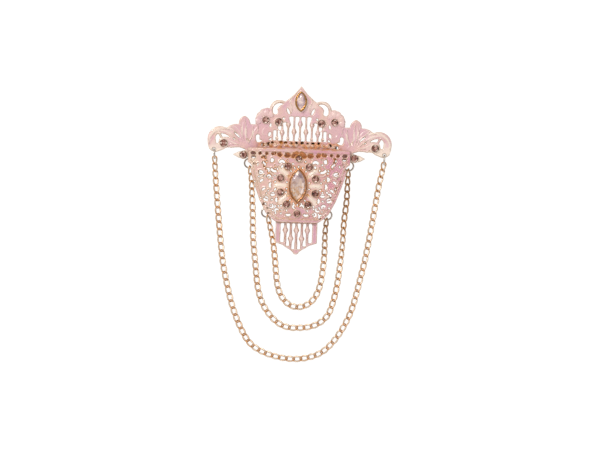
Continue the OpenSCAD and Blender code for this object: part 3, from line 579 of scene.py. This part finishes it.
# Slots sawn between the leaves of the crest's right half: points along each, with its half width
LEAF_SLOTS = [[(32.8, 24.6, 0.2), (31, 23.9, 0.65), (29.2, 22.7, 0.75), (27.6, 21.3, 0.6), (26, 20, 0.15)],
              [(31.3, 20.9, 0.2), (29.9, 20.2, 0.75), (28.6, 19.6, 0.2)]]

# Slots that the shield's scrolls are opened with, on its right half: points along each, with its half width
SHIELD_SLOTS = [
    [(4.2, 13.2, 0.5), (4.9, 13.9, 1.05), (6.1, 13.8, 0.8)], [(8.3, 14.4, 0.7), (9.2, 13.6, 0.95)],
    [(0.75, 15, 0.45), (2.3, 14.4, 0.75), (2.9, 12.8, 0.5)], [(11.6, 14.6, 0.4), (12.2, 13.8, 0.5)],
    [(14.2, 14.3, 0.45), (15.2, 14.1, 0.5)], [(17.2, 14.4, 0.5), (18.3, 14, 0.5)],
    [(19.9, 13.8, 0.5), (20.9, 14.5, 0.8), (21.8, 14, 0.5)],
    [(19.9, 12.9, 0.5), (20.7, 12.1, 0.8), (21.5, 12.7, 0.5)],
    [(6.4, 10.2, 0.4), (7.1, 11, 0.55), (8.2, 11, 0.55), (8.8, 10.1, 0.4)],
    [(12, 12.1, 0.4), (12.6, 11.2, 0.5), (12.3, 10.3, 0.3)], [(10, 6.3, 0.4), (11.7, 6, 0.5), (12.4, 7.4, 0.45)],
    [(16, 5.4, 0.4), (17.1, 6.6, 0.5), (18.2, 5.9, 0.35)], [(15.8, 2.2, 0.35), (16.8, 2.2, 0.5), (17.2, 1.1, 0.35)],
    [(12.4, 1, 0.35), (13.3, 0, 0.5), (12.4, -1.2, 0.35)],
    [(14.7, -1.6, 0.35), (15.9, -1.7, 0.5), (16.1, -2.7, 0.3)],
    [(10.4, -4.2, 0.35), (11.4, -4.9, 0.5), (12.2, -4.2, 0.35)],
    [(9.3, -5.8, 0.4), (10.1, -6.7, 0.5), (9.2, -7.6, 0.35)],
    [(13.4, -6.8, 0.35), (14.7, -7.3, 0.5), (15.3, -6.1, 0.35)], [(3, -13, 0.4), (4, -13.7, 0.5), (5, -13, 0.35)]
]

# A small C-shaped opening: its radius in millimetres, then the angle and half width of points along it
SCROLL_RADIUS = 0.88
SCROLL = ((-105, 0.26), (-70, 0.32), (-35, 0.4), (0, 0.46), (35, 0.4), (70, 0.32), (105, 0.26))


def dome_top(x):
    """The shield's domed front."""
    return DOME_AXIS + math.sqrt(DOME_FRONT ** 2 - x ** 2)


def height_on_crest(p):
    """How high points lie over the crest's back."""
    return p[:, 2] - CREST_BACK


def height_on_shield(p):
    """How high points lie over the back of the shield's dome, or of its flat tab."""
    dome = np.hypot(p[:, 0], p[:, 2] - DOME_AXIS) - (DOME_FRONT - PLATE)
    return np.where(p[:, 1] < TAB_EDGE, p[:, 2] - TAB_BACK, dome)


def wires(rows, top, radius, sunk):
    """Both halves of a chart of raised wires, partly sunk in the casting's front."""
    return [ridge([(side * x * MM, CENTRE_Y + y * MM, top - radius * r * sunk, r)
                   for x, y, r in row], radius)
            for row in rows for side in (1, -1)]


def grains(rows, top, squash):
    """Both halves of a chart of raised grains: x, y, radius."""
    return [bead((side * x * MM, CENTRE_Y + y * MM, top), radius * MM, squash)
            for x, y, radius in rows for side in ((1, -1) if x else (1,))]


def petal_ridges():
    """Raised petals between the stones round the centre: place along each, and thickness."""
    made = []
    for angle in PETALS:
        a = math.radians(angle)
        row = [(PETAL_OVAL[0] * t * math.cos(a) * MM, CENTRE_Y + PETAL_OVAL[1] * t * math.sin(a) * MM, r)
               for t, r in ((0.62, 0.5), (0.85, 1.1), (1.1, 1.1), (1.4, 0.3))]
        made.append(ridge([(x, y, dome_top(x) - 0.25 * MM, r) for x, y, r in row], 0.6 * MM))
    return made


def open_up(piece, slots, holes, wider=1.0, scrolls=()):
    """Cuts slots and small round holes right through a casting, as a jeweller's saw and drill do."""
    tools = [ridge([(side * x * MM, CENTRE_Y + y * MM, 0, r * wider) for x, y, r in row], MM)
             for row in slots for side in (1, -1)]
    for x, y, turn in scrolls:
        arc = [(turn + math.radians(a), r) for a, r in SCROLL]
        tools.append(ridge([(x + SCROLL_RADIUS * MM * math.cos(a), y + SCROLL_RADIUS * MM * math.sin(a), 0, r)
                            for a, r in arc], MM))
    tools += [added(bpy.ops.mesh.primitive_cylinder_add, vertices=10, radius=radius, depth=2 * MM,
                    location=(x, y, 0)) for x, y, radius in holes]
    tool = joined(tools[0], tools[1:])
    alone(tool)
    bpy.ops.object.transform_apply(location=True, rotation=True, scale=True)
    # Made flat above, then stretched to reach through the casting
    tool.data.transform(Matrix.Translation((0, 0, 9 * MM)) @ Matrix.Scale(5, 4, (0, 0, 1)))
    finish_with(piece, "BOOLEAN", operation="DIFFERENCE", object=tool, solver="EXACT", use_self=True)
    bpy.data.objects.remove(tool)


def room_between(piece):
    """Finds room between the scrolls for small C-shaped openings and drilled holes."""
    p, n = points_of(piece.data), normals_of(piece.data)
    tree = wall_tree(p, (np.abs(n[:, 2]) < 0.6) & (p[:, 2] > 6 * MM))
    stones = [middle_of(stone) for stone in ROUND_STONES]
    slots = [(side * x * MM, CENTRE_Y + y * MM) for row in SHIELD_SLOTS for x, y, _ in row for side in (1, -1)]
    pick = random.Random(11)

    def clear_of(place, others, least):
        return all(math.hypot(place[0] - other[0], place[1] - other[1]) >= least * MM for other in others)

    def look_for(tries, right, foot, most, from_wall, from_stone, from_slot, apart, taken=(), from_taken=0):
        """Places with room round them, in millimetres, each with a number between 0 and 1."""
        found = []
        for _ in range(tries):
            x, y = pick.uniform(-20, right) * MM, pick.uniform(foot, 12.4) * MM
            place = (x, CENTRE_Y + y)
            out = math.hypot(x / PETAL_OVAL[0], y / PETAL_OVAL[1])
            turn = math.degrees(math.atan2(y / PETAL_OVAL[1], x / PETAL_OVAL[0]))
            on_petal = out < 1.35 * MM and min(abs((turn - a + 180) % 360 - 180) for a in PETALS) < 9
            on_centre = (x / (5.6 * MM)) ** 2 + (y / (9.6 * MM)) ** 2 < 1
            if (not on_petal and not on_centre and tree.find((*place, 0))[2] >= from_wall * MM
                    and clear_of(place, stones, from_stone) and clear_of(place, slots, from_slot)
                    and clear_of(place, taken, from_taken) and clear_of(place, found, apart)):
                found.append((*place, pick.random()))
        return found[:most]

    scrolls = look_for(9000, 20, -14, 34, 1.5, 3.1, 2.0, 2.75)
    holes = look_for(5000, 15, -13.6, 40, 0.72, 2.45, 1.35, 1.2, scrolls, 1.7)
    return ([(x, y, math.tau * turn) for x, y, turn in scrolls],
            [(x, y, (0.2 + 0.22 * size) * MM) for x, y, size in holes])


# How far the links' faces are let out, so that rounding doesn't thin them, in metres. Then how much
# more their sides are let out, outwards and evenly, in millimetres
LINK_FILL = 0.000075
SIDE_FILL, EVEN_FILL = 0.24, 0.05


def mark_hooks(mesh):
    """Marks each link's two ends, where it hooks into its neighbours, and the way out from its sides."""
    p = points_of(mesh)
    pairs = np.array([e.vertices[:] for e in mesh.edges])
    label = np.arange(len(p))
    # The lowest number spreads along the edges until each link's points share one
    for _ in range(40):
        low = np.minimum(label[pairs[:, 0]], label[pairs[:, 1]])
        np.minimum.at(label, pairs[:, 0], low)
        np.minimum.at(label, pairs[:, 1], low)
    hook, side = np.zeros(len(p)), np.zeros((len(p), 3))
    for link in np.unique(label):
        own = label == link
        q = p[own] - p[own].mean(0)
        length, width, _ = np.linalg.svd(q, full_matrices=False)[2]
        along = np.abs(q @ length)
        hook[own] = along / along.max()
        side[own] = np.sign(q @ width)[:, None] * width
    paint(mesh, "hook", hook)
    return hook, side


def fill_sides(mesh):
    """Thickens the links' sides outwards, and leaves their hooked ends as they are."""
    hook, side = mark_hooks(mesh)
    p, n = points_of(mesh), normals_of(mesh)
    away = np.clip((n * side).sum(1), 0, 1) * SIDE_FILL * MM + EVEN_FILL * MM
    p += n * (away * np.clip((0.82 - hook) / 0.35, 0, 1))[:, None]
    mesh.vertices.foreach_set("co", p.ravel())
    mesh.update()


# Cutting stones

def facets(piece, planes):
    """Grinds facets: each plane takes off what lies outside it and closes the cut."""
    alone(piece)
    bpy.ops.object.mode_set(mode="EDIT")
    for place, normal in planes:
        bpy.ops.mesh.select_all(action="SELECT")
        bpy.ops.mesh.bisect(plane_co=place, plane_no=normal, use_fill=True, clear_outer=True, threshold=1e-5)
    bpy.ops.object.mode_set(mode="OBJECT")


def tilted(angle, tilt, down=False):
    """The way a facet faces, from its angle round the stone and its tilt from the table."""
    a, t = math.radians(angle), math.radians(tilt)
    return (math.cos(a) * math.sin(t), math.sin(a) * math.sin(t), -math.cos(t) if down else math.cos(t))


def round_brilliant():
    """A round stone 1 across: table, star, main and break facets above, mains and breaks below."""
    table, girdle = 0.16, 0.02
    main, broken, star, low_main, low_broken = 34, 41, 20, 27, 31
    stone = added(bpy.ops.mesh.primitive_cylinder_add, vertices=16, radius=0.5, depth=1.0, location=(0, 0, 0))
    planes = [((0, 0, table), (0, 0, 1))]
    for k in range(8):
        a, b = 45 * k, 45 * k + 22.5
        rim_a = (0.49 * math.cos(math.radians(a)), 0.49 * math.sin(math.radians(a)))
        rim_b = (0.485 * math.cos(math.radians(b)), 0.485 * math.sin(math.radians(b)))
        planes += [((*rim_a, girdle), tilted(a, main)), ((*rim_b, girdle), tilted(b, broken)),
                   ((rim_b[0] * 0.61, rim_b[1] * 0.61, table), tilted(b, star)),
                   ((*rim_a, -girdle), tilted(a, low_main, True)), ((*rim_b, -girdle), tilted(b, low_broken, True))]
    facets(stone, planes)
    return stone


def navette_brilliant(length, width, crown, depth):
    """A boat-shaped stone, ground from a block: outline, crown, star and pavilion facets."""
    stone = added(bpy.ops.mesh.primitive_cube_add, size=2 * length, location=(0, 0, 0))
    half_turn = 2 * math.atan(width / length)
    radius = length / 2 / math.sin(half_turn)
    girdle = 0.06 * width / 4
    planes = [((0, 0, crown), (0, 0, 1))]

    def facing(k, side):
        a = math.degrees(half_turn * k / 7.5)
        angle = a if side > 0 else 180 - a
        return angle, math.radians(angle)

    for side in (1, -1):
        centre = -side * (radius - width / 2)
        for k in range(-7, 8, 2):
            a = half_turn * k / 8
            n = (side * math.cos(a), math.sin(a), 0)
            planes.append(((centre + radius * n[0], radius * n[1], 0), n))
        for k in range(-6, 7, 2):
            angle, a = facing(k, side)
            rim = (centre + radius * math.cos(a) * 0.995, radius * math.sin(a) * 0.995)
            planes += [((*rim, girdle), tilted(angle, 36)), ((*rim, -girdle), tilted(angle, 33, True))]
        for k in (-5, -3, -1, 1, 3, 5):
            angle, a = facing(k, side)
            inner = (centre * 0.98 + radius * math.cos(a) * 0.98 - side * width * 0.19, radius * math.sin(a) * 0.8)
            planes.append(((*inner, crown), tilted(angle, 18)))
    planes.append(((0, 0, -depth), (0, 0, -1)))
    facets(stone, planes)
    return stone


def tone_facets(mesh, seed):
    """A tone for each facet: the table and inner facets light, the outer ones mixed."""
    pick = random.Random(seed)
    tones = []
    size = max(abs(v.co.x) for v in mesh.vertices)
    for face in mesh.polygons:
        tone = pick.random()
        out = math.hypot(face.center.x, face.center.y * 0.6) / size
        if face.normal.z > 0.98:
            tone = 0.5
        elif out < 0.62:
            tone = 0.35 + tone * 0.63
        elif out > 0.78:
            tone *= 0.6
        tones.append(tone)
    paint(mesh, "facet", tones, "FACE")


def stand_on_dome(mesh, x, y, height):
    """Places a mesh square to the dome's front at a point of it."""
    turn = Matrix.Rotation(math.asin(x / DOME_FRONT), 4, "Y")
    seat = Vector((0, y, DOME_AXIS)) + turn @ Vector((0, 0, DOME_FRONT + height))
    mesh.transform(Matrix.Translation(seat) @ turn)


# Tones of the stones from dark to light, and the round stones' flash
ROUND_TONES = ((0.025, 0.006, 0.004), (0.24, 0.085, 0.062), (0.62, 0.36, 0.30))
ROUND_FLASH = (0.98, 0.84, 0.74)
NAVETTE_TONES = ((0.30, 0.21, 0.22), (0.55, 0.41, 0.42), (0.76, 0.60, 0.52))
NAVETTE_FLASH = (0.88, 0.76, 0.64)
AMBER = (0.66, 0.36, 0.16)

# Soft lights: name, place, size, power, tint
LIGHTS = (("key", (-0.6, 0.6, 0.8), 0.4, 8.5, (1, 0.98, 0.95)),
          ("fill", (0.7, -0.2, 0.8), 0.6, 2.2, (0.97, 0.97, 1)),
          ("low", (0.1, -0.8, 0.45), 0.4, 1.2, (1, 0.96, 0.92)))
# Width of floor in the picture, in metres
PICTURE_WIDTH = 0.273


# Settings

class BroochLook(bpy.types.PropertyGroup):
    """Colours and finishes of the brooch."""
    rose: FloatVectorProperty(name="Rose", description="Main colour of the enamel", subtype="COLOR",
        default=(0.75, 0.46, 0.47), min=0, max=1)
    deep_rose: FloatVectorProperty(name="Deep rose", description="Where the enamel lies thickest",
        subtype="COLOR", default=(0.68, 0.26, 0.36), min=0, max=1)
    lilac: FloatVectorProperty(name="Lilac", description="Cool clouds in the enamel", subtype="COLOR",
        default=(0.66, 0.38, 0.50), min=0, max=1)
    peach: FloatVectorProperty(name="Peach", description="Warm clouds in the enamel", subtype="COLOR",
        default=(0.80, 0.57, 0.43), min=0, max=1)
    champagne: FloatVectorProperty(name="Champagne", description="Worn rims of the enamel", subtype="COLOR",
        default=(0.80, 0.64, 0.46), min=0, max=1)
    cream: FloatVectorProperty(name="Cream", description="Petals and tips that are nearly bare of enamel",
        subtype="COLOR", default=(0.93, 0.80, 0.67), min=0, max=1)
    gilt: FloatVectorProperty(name="Gilt", description="Walls of the openings", subtype="COLOR",
        default=(0.58, 0.32, 0.14), min=0, max=1)
    edge_brown: FloatVectorProperty(name="Edge brown", description="Patina on the steep sides",
        subtype="COLOR", default=(0.34, 0.20, 0.13), min=0, max=1)
    deep_gilt: FloatVectorProperty(name="Deep gilt", description="Gilding in the hollows", subtype="COLOR",
        default=(0.72, 0.27, 0.05), min=0, max=1)
    bezel: FloatVectorProperty(name="Bezel", description="Bezel of the centre stone", subtype="COLOR",
        default=(0.78, 0.38, 0.17), min=0, max=1)
    top_bezel: FloatVectorProperty(name="Top bezel", description="Bezel of the small long stone",
        subtype="COLOR", default=(0.72, 0.38, 0.10), min=0, max=1)
    chain: FloatVectorProperty(name="Chain", description="Sides of the links", subtype="COLOR",
        default=(0.78, 0.60, 0.44), min=0, max=1)
    side_tarnish: FloatVectorProperty(name="Side tarnish", description="Grey brown on the wires' sides",
        subtype="COLOR", default=(0.28, 0.23, 0.17), min=0, max=1)
    hook_gold: FloatVectorProperty(name="Hook gold", description="Ends of the links", subtype="COLOR",
        default=(0.66, 0.26, 0.03), min=0, max=1)
    ring: FloatVectorProperty(name="Ring", description="Jump rings", subtype="COLOR",
        default=(0.58, 0.52, 0.46), min=0, max=1)


class BroochShape(bpy.types.PropertyGroup):
    """Sizes of the cast and drawn detail."""
    crest_roll: FloatProperty(name="Crest roll", description="How far the crest's edges are rolled over",
        default=0.0005, min=0, max=0.0009, unit="LENGTH")
    shield_roll: FloatProperty(name="Shield roll", description="How far the shield's edges are rolled over",
        default=0.00045, min=0, max=0.0009, unit="LENGTH")
    lip: FloatProperty(name="Lip", description="Height of the lip beside an edge", default=0.0001, min=0,
        max=0.0003, unit="LENGTH")
    reach: FloatProperty(name="Reach", description="How far in from an opening its edge is rolled",
        default=0.0007, min=0.0003, max=0.0015, unit="LENGTH")
    grain: FloatProperty(name="Grain", description="Finest detail of the castings", default=0.00015,
        min=0.0001, max=0.0004, unit="LENGTH")
    bar: FloatProperty(name="Bar", description="Radius of a lattice bar between its beads", default=0.00045,
        min=0.0002, max=0.0008, unit="LENGTH")
    wire: FloatProperty(name="Wire", description="Radius of the raised wires", default=0.00045, min=0.0001,
        max=0.0006, unit="LENGTH")


class BroochStage(bpy.types.PropertyGroup):
    """Floor, light and camera."""
    distance: FloatProperty(name="Camera height", description="Camera above the brooch", default=1.3, min=0.3,
        max=4, unit="LENGTH")
    lean: FloatProperty(name="Lean", description="Turn of the brooch in the picture",
        default=math.radians(2.12), subtype="ANGLE")
    floor: FloatVectorProperty(name="Floor", description="What the lit floor adds to its own glow",
        subtype="COLOR", default=(0.12, 0.12, 0.12), min=0, max=1)


# Steps

class BROOCH_OT_crest(bpy.types.Operator):
    """Makes the crest: rolled edges, raised wires and rose enamel"""
    bl_idname = "brooch.crest"
    bl_label = "Crest"

    def execute(self, context):
        look, shape = context.scene.brooch_look, context.scene.brooch_shape
        piece = cast_of("crest_plate", "crest_casting")
        open_up(piece, LEAF_SLOTS, [(x * MM, CENTRE_Y + y * MM, radius * MM) for x, y, radius in FOOT_HOLES])
        piece = joined(piece, wires(CREST_WIRES, CREST_FRONT, shape.wire, 0.45)
                       + wires(CREST_BANDS, CREST_BACK + 0.6 * PLATE, shape.wire, 0.0)
                       + wires(CREST_BARS, CREST_FRONT - BAR_SINK, shape.bar, 0.5)
                       + grains(CREST_GRAINS, CREST_FRONT, 0.45))
        soften(piece, height_on_crest, shape.crest_roll, shape.lip, shape.reach, shape.grain, 0.32 * MM)
        enamel = rose_enamel(look, "rose_enamel_crest", 0.4, 0.0, tip_cream, foot_gilding)
        settle(piece, "rose_enamel", enamel, "crest_plate")
        return {"FINISHED"}


class BROOCH_OT_shield(bpy.types.Operator):
    """Makes the shield: domed scrolls, petals, punched ground, side wall and tab"""
    bl_idname = "brooch.shield"
    bl_label = "Shield"

    def execute(self, context):
        look, shape = context.scene.brooch_look, context.scene.brooch_shape
        piece = cast_of("shield_plate", "shield_casting")
        scrolls, holes = room_between(piece)
        open_up(piece, SHIELD_SLOTS, holes, 1.2, scrolls)
        piece = joined(piece, petal_ridges() + wires(TAB_BARS, TAB_BACK + PLATE - BAR_SINK, shape.bar, 0.5))
        soften(piece, height_on_shield, shape.shield_roll, shape.lip * 1.8, shape.reach * 0.8, shape.grain,
               0.45 * MM, ground_pits)
        enamel = rose_enamel(look, "rose_enamel_shield", 0.5, 0.3, petal_cream, frame_gilding)
        settle(piece, "rose_enamel", enamel, "shield_plate")
        return {"FINISHED"}


class BROOCH_OT_bezels(bpy.types.Operator):
    """Makes the gilt bezels of the two boat-shaped stones"""
    bl_idname = "brooch.bezels"
    bl_label = "Bezels"

    def execute(self, context):
        look = context.scene.brooch_look
        for node, name, colour, rough in (("bezel_centre", "centre_bezel", look.bezel, 0.16),
                                          ("bezel_top", "top_bezel", look.top_bezel, 0.18)):
            piece = cast_of(node, name)
            melt(piece, 0.00009, 5)
            settle(piece, "gold", gilt(name + "_gilt", colour, rough), node)
        return {"FINISHED"}


class BROOCH_OT_pin(bpy.types.Operator):
    """Softens the pin's edges and gives it a hinge knuckle and a catch ring"""
    bl_idname = "brooch.pin"
    bl_label = "Pin"

    def execute(self, context):
        low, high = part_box("pin_back")
        y, z, quarter = middle_of("pin_back")[1], 0.0014, math.pi / 2
        pin = cast_of("pin_back", "pin_and_catch")
        finish_with(pin, "BEVEL", width=0.00015, segments=2, limit_method="ANGLE")
        knuckle = added(bpy.ops.mesh.primitive_cylinder_add, vertices=32, radius=0.00125, depth=0.0028,
                        rotation=(quarter, 0, 0), location=(low[0] + 0.0018, y, z))
        finish_with(knuckle, "BEVEL", width=0.0002, segments=3, limit_method="ANGLE")
        catch = added(bpy.ops.mesh.primitive_torus_add, major_radius=0.00095, minor_radius=0.0003,
                      major_segments=32, minor_segments=12, rotation=(0, quarter, 0),
                      location=(high[0] - 0.0034, y, z))
        joined(pin, [knuckle, catch])
        alone(pin)
        bpy.ops.object.shade_smooth_by_angle(angle=math.radians(35))
        settle(pin, "gold", pin_metal(context.scene.brooch_look), "pin_back")
        return {"FINISHED"}


class BROOCH_OT_round_stones(bpy.types.Operator):
    """Cuts one round stone and copies it into every round setting"""
    bl_idname = "brooch.round_stones"
    bl_label = "Round stones"

    def execute(self, context):
        glass = cut_glass("smoky_rose_glass", ROUND_TONES, ROUND_FLASH, 1100)
        pattern = round_brilliant()
        for number, node in enumerate(ROUND_STONES):
            low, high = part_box(node)
            x, y = middle_of(node)
            piece = placed("cut_" + node, pattern.data.copy())
            tone_facets(piece.data, 40 + number)
            piece.data.transform(Matrix.Scale(high[1] - low[1], 4))
            if node.split("_")[1] in ("cluster", "above", "below"):
                stand_on_dome(piece.data, x, y, STONE_SEAT)
            else:
                piece.data.transform(Matrix.Translation((x, y, CREST_FRONT + STONE_SEAT)))
            settle(piece, "round_stone", glass, node)
        bpy.data.objects.remove(pattern)
        return {"FINISHED"}


class BROOCH_OT_navettes(bpy.types.Operator):
    """Cuts the two boat-shaped stones"""
    bl_idname = "brooch.navettes"
    bl_label = "Navettes"

    def execute(self, context):
        for node, name, crown, seed, lift, cell in (("navette_centre", "centre_navette", 0.9, 7, 1.0, 620),
                                                    ("navette_top", "top_navette", 0.7, 9, 1.3, 900)):
            low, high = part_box(node)
            size = [(b - a) / MM for a, b in zip(low, high)]
            piece = navette_brilliant(size[1], size[0], crown, size[2] - crown)
            piece.name = name
            tone_facets(piece.data, seed)
            length = high[1] - low[1]
            warm = (low[1] + 0.2 * length, low[1] + 0.85 * length, AMBER) if node == "navette_centre" else None
            tones = [shade(tone, lift) for tone in NAVETTE_TONES]
            glass = cut_glass(name + "_glass", tones, NAVETTE_FLASH, cell, warm)
            piece.data.transform(Matrix.Scale(MM, 4))
            piece.data.transform(Matrix.Translation((*middle_of(node), high[2] - crown * MM)))
            settle(piece, "navette", glass, node)
        return {"FINISHED"}


class BROOCH_OT_chains(bpy.types.Operator):
    """Rounds the curb links of the three chains"""
    bl_idname = "brooch.chains"
    bl_label = "Chains"

    def execute(self, context):
        metal = chain_metal(context.scene.brooch_look)
        for node in ("chain_outer", "chain_middle", "chain_inner"):
            piece = cast_of(node, node.replace("chain_", "links_"))
            edit_all(piece)
            bpy.ops.mesh.tris_convert_to_quads(face_threshold=math.radians(60), shape_threshold=math.radians(60))
            bpy.ops.mesh.normals_make_consistent(inside=False)
            bpy.ops.transform.shrink_fatten(value=LINK_FILL)
            bpy.ops.object.mode_set(mode="OBJECT")
            fill_sides(piece.data)
            finish_with(piece, "SUBSURF", levels=2, render_levels=2)
            lean = np.abs(normals_of(piece.data)[:, 2])
            paint(piece.data, "side", np.clip((0.8 - lean) / 0.4, 0, 1))
            shade_soft(piece)
            settle(piece, "chain_gold", metal, node)
        return {"FINISHED"}


class BROOCH_OT_jump_rings(bpy.types.Operator):
    """Rounds the six jump rings"""
    bl_idname = "brooch.jump_rings"
    bl_label = "Jump rings"

    def execute(self, context):
        metal = gilt("ring_gilt", context.scene.brooch_look.ring, 0.28)
        for node in [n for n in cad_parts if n.startswith("ring_")]:
            piece = cast_of(node, node.replace("ring_", "jump_"))
            melt(piece, 0.00007, 4)
            settle(piece, "chain_gold", metal, node)
        return {"FINISHED"}


class BROOCH_OT_stage(bpy.types.Operator):
    """Lays the pale floor, sets the soft lights and the camera straight above"""
    bl_idname = "brooch.stage"
    bl_label = "Floor, light and camera"

    def execute(self, context):
        scene, stage = context.scene, context.scene.brooch_stage
        floor = added(bpy.ops.mesh.primitive_plane_add, size=4, location=(0, 0, 0))
        floor.name = "floor"
        f = Finish("floor_paper")
        tone = f.blend(f.noise(30, 2) * 0.03, stage.floor, shade(stage.floor, 0.97))
        floor.data.materials.append(f.wear(Base_Color=tone, Roughness=0.9, Emission_Color=(1, 1, 1),
                                           Emission_Strength=0.96))
        scene.view_settings.view_transform = "Standard"
        scene.world = scene.world or bpy.data.worlds.new("studio")
        scene.world.use_nodes = True
        sky = scene.world.node_tree.nodes["Background"]
        sky.inputs["Color"].default_value = (1.0, 0.985, 0.975, 1)
        sky.inputs["Strength"].default_value = 0.45
        for name, place, size, power, tint in LIGHTS:
            light = bpy.data.lights.new(name, "AREA")
            light.size, light.energy, light.color = size, power, tint
            lamp = placed(name, light)
            lamp.location = place
            lamp.rotation_euler = Vector(place).to_track_quat("Z", "Y").to_euler()
        camera = bpy.data.cameras.new("camera")
        camera.sensor_width = 36
        camera.lens = camera.sensor_width * stage.distance / PICTURE_WIDTH
        camera.clip_end = 20
        eye = placed("camera", camera)
        eye.location = (1.57 * MM, -0.26 * MM, stage.distance + 5 * MM)
        eye.rotation_euler = (0, 0, stage.lean)
        scene.camera = eye
        return {"FINISHED"}


class BROOCH_PT_panel(bpy.types.Panel):
    """Lists the steps that make the brooch"""
    bl_label = "Brooch"
    bl_space_type = "VIEW_3D"
    bl_region_type = "UI"
    bl_category = "Brooch"

    def draw(self, context):
        for step in STEPS:
            self.layout.operator(step.bl_idname)
        for group in (context.scene.brooch_look, context.scene.brooch_shape, context.scene.brooch_stage):
            for name in group.__annotations__:
                self.layout.prop(group, name)


STEPS = (BROOCH_OT_crest, BROOCH_OT_shield, BROOCH_OT_bezels, BROOCH_OT_pin, BROOCH_OT_round_stones,
         BROOCH_OT_navettes, BROOCH_OT_chains, BROOCH_OT_jump_rings, BROOCH_OT_stage)
CLASSES = (BroochLook, BroochShape, BroochStage, *STEPS, BROOCH_PT_panel)


def register():
    """Makes the settings, the steps and the panel known."""
    for kind in CLASSES:
        bpy.utils.register_class(kind)
    bpy.types.Scene.brooch_look = PointerProperty(type=BroochLook)
    bpy.types.Scene.brooch_shape = PointerProperty(type=BroochShape)
    bpy.types.Scene.brooch_stage = PointerProperty(type=BroochStage)


def unregister():
    """Takes them away again."""
    del bpy.types.Scene.brooch_look, bpy.types.Scene.brooch_shape, bpy.types.Scene.brooch_stage
    for kind in reversed(CLASSES):
        bpy.utils.unregister_class(kind)


def main():
    """Makes every piece in order."""
    register()
    bpy.ops.brooch.crest()
    bpy.ops.brooch.shield()
    bpy.ops.brooch.bezels()
    bpy.ops.brooch.pin()
    bpy.ops.brooch.round_stones()
    bpy.ops.brooch.navettes()
    bpy.ops.brooch.chains()
    bpy.ops.brooch.jump_rings()
    bpy.ops.brooch.stage()
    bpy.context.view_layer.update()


if __name__ == "__main__":
    main()
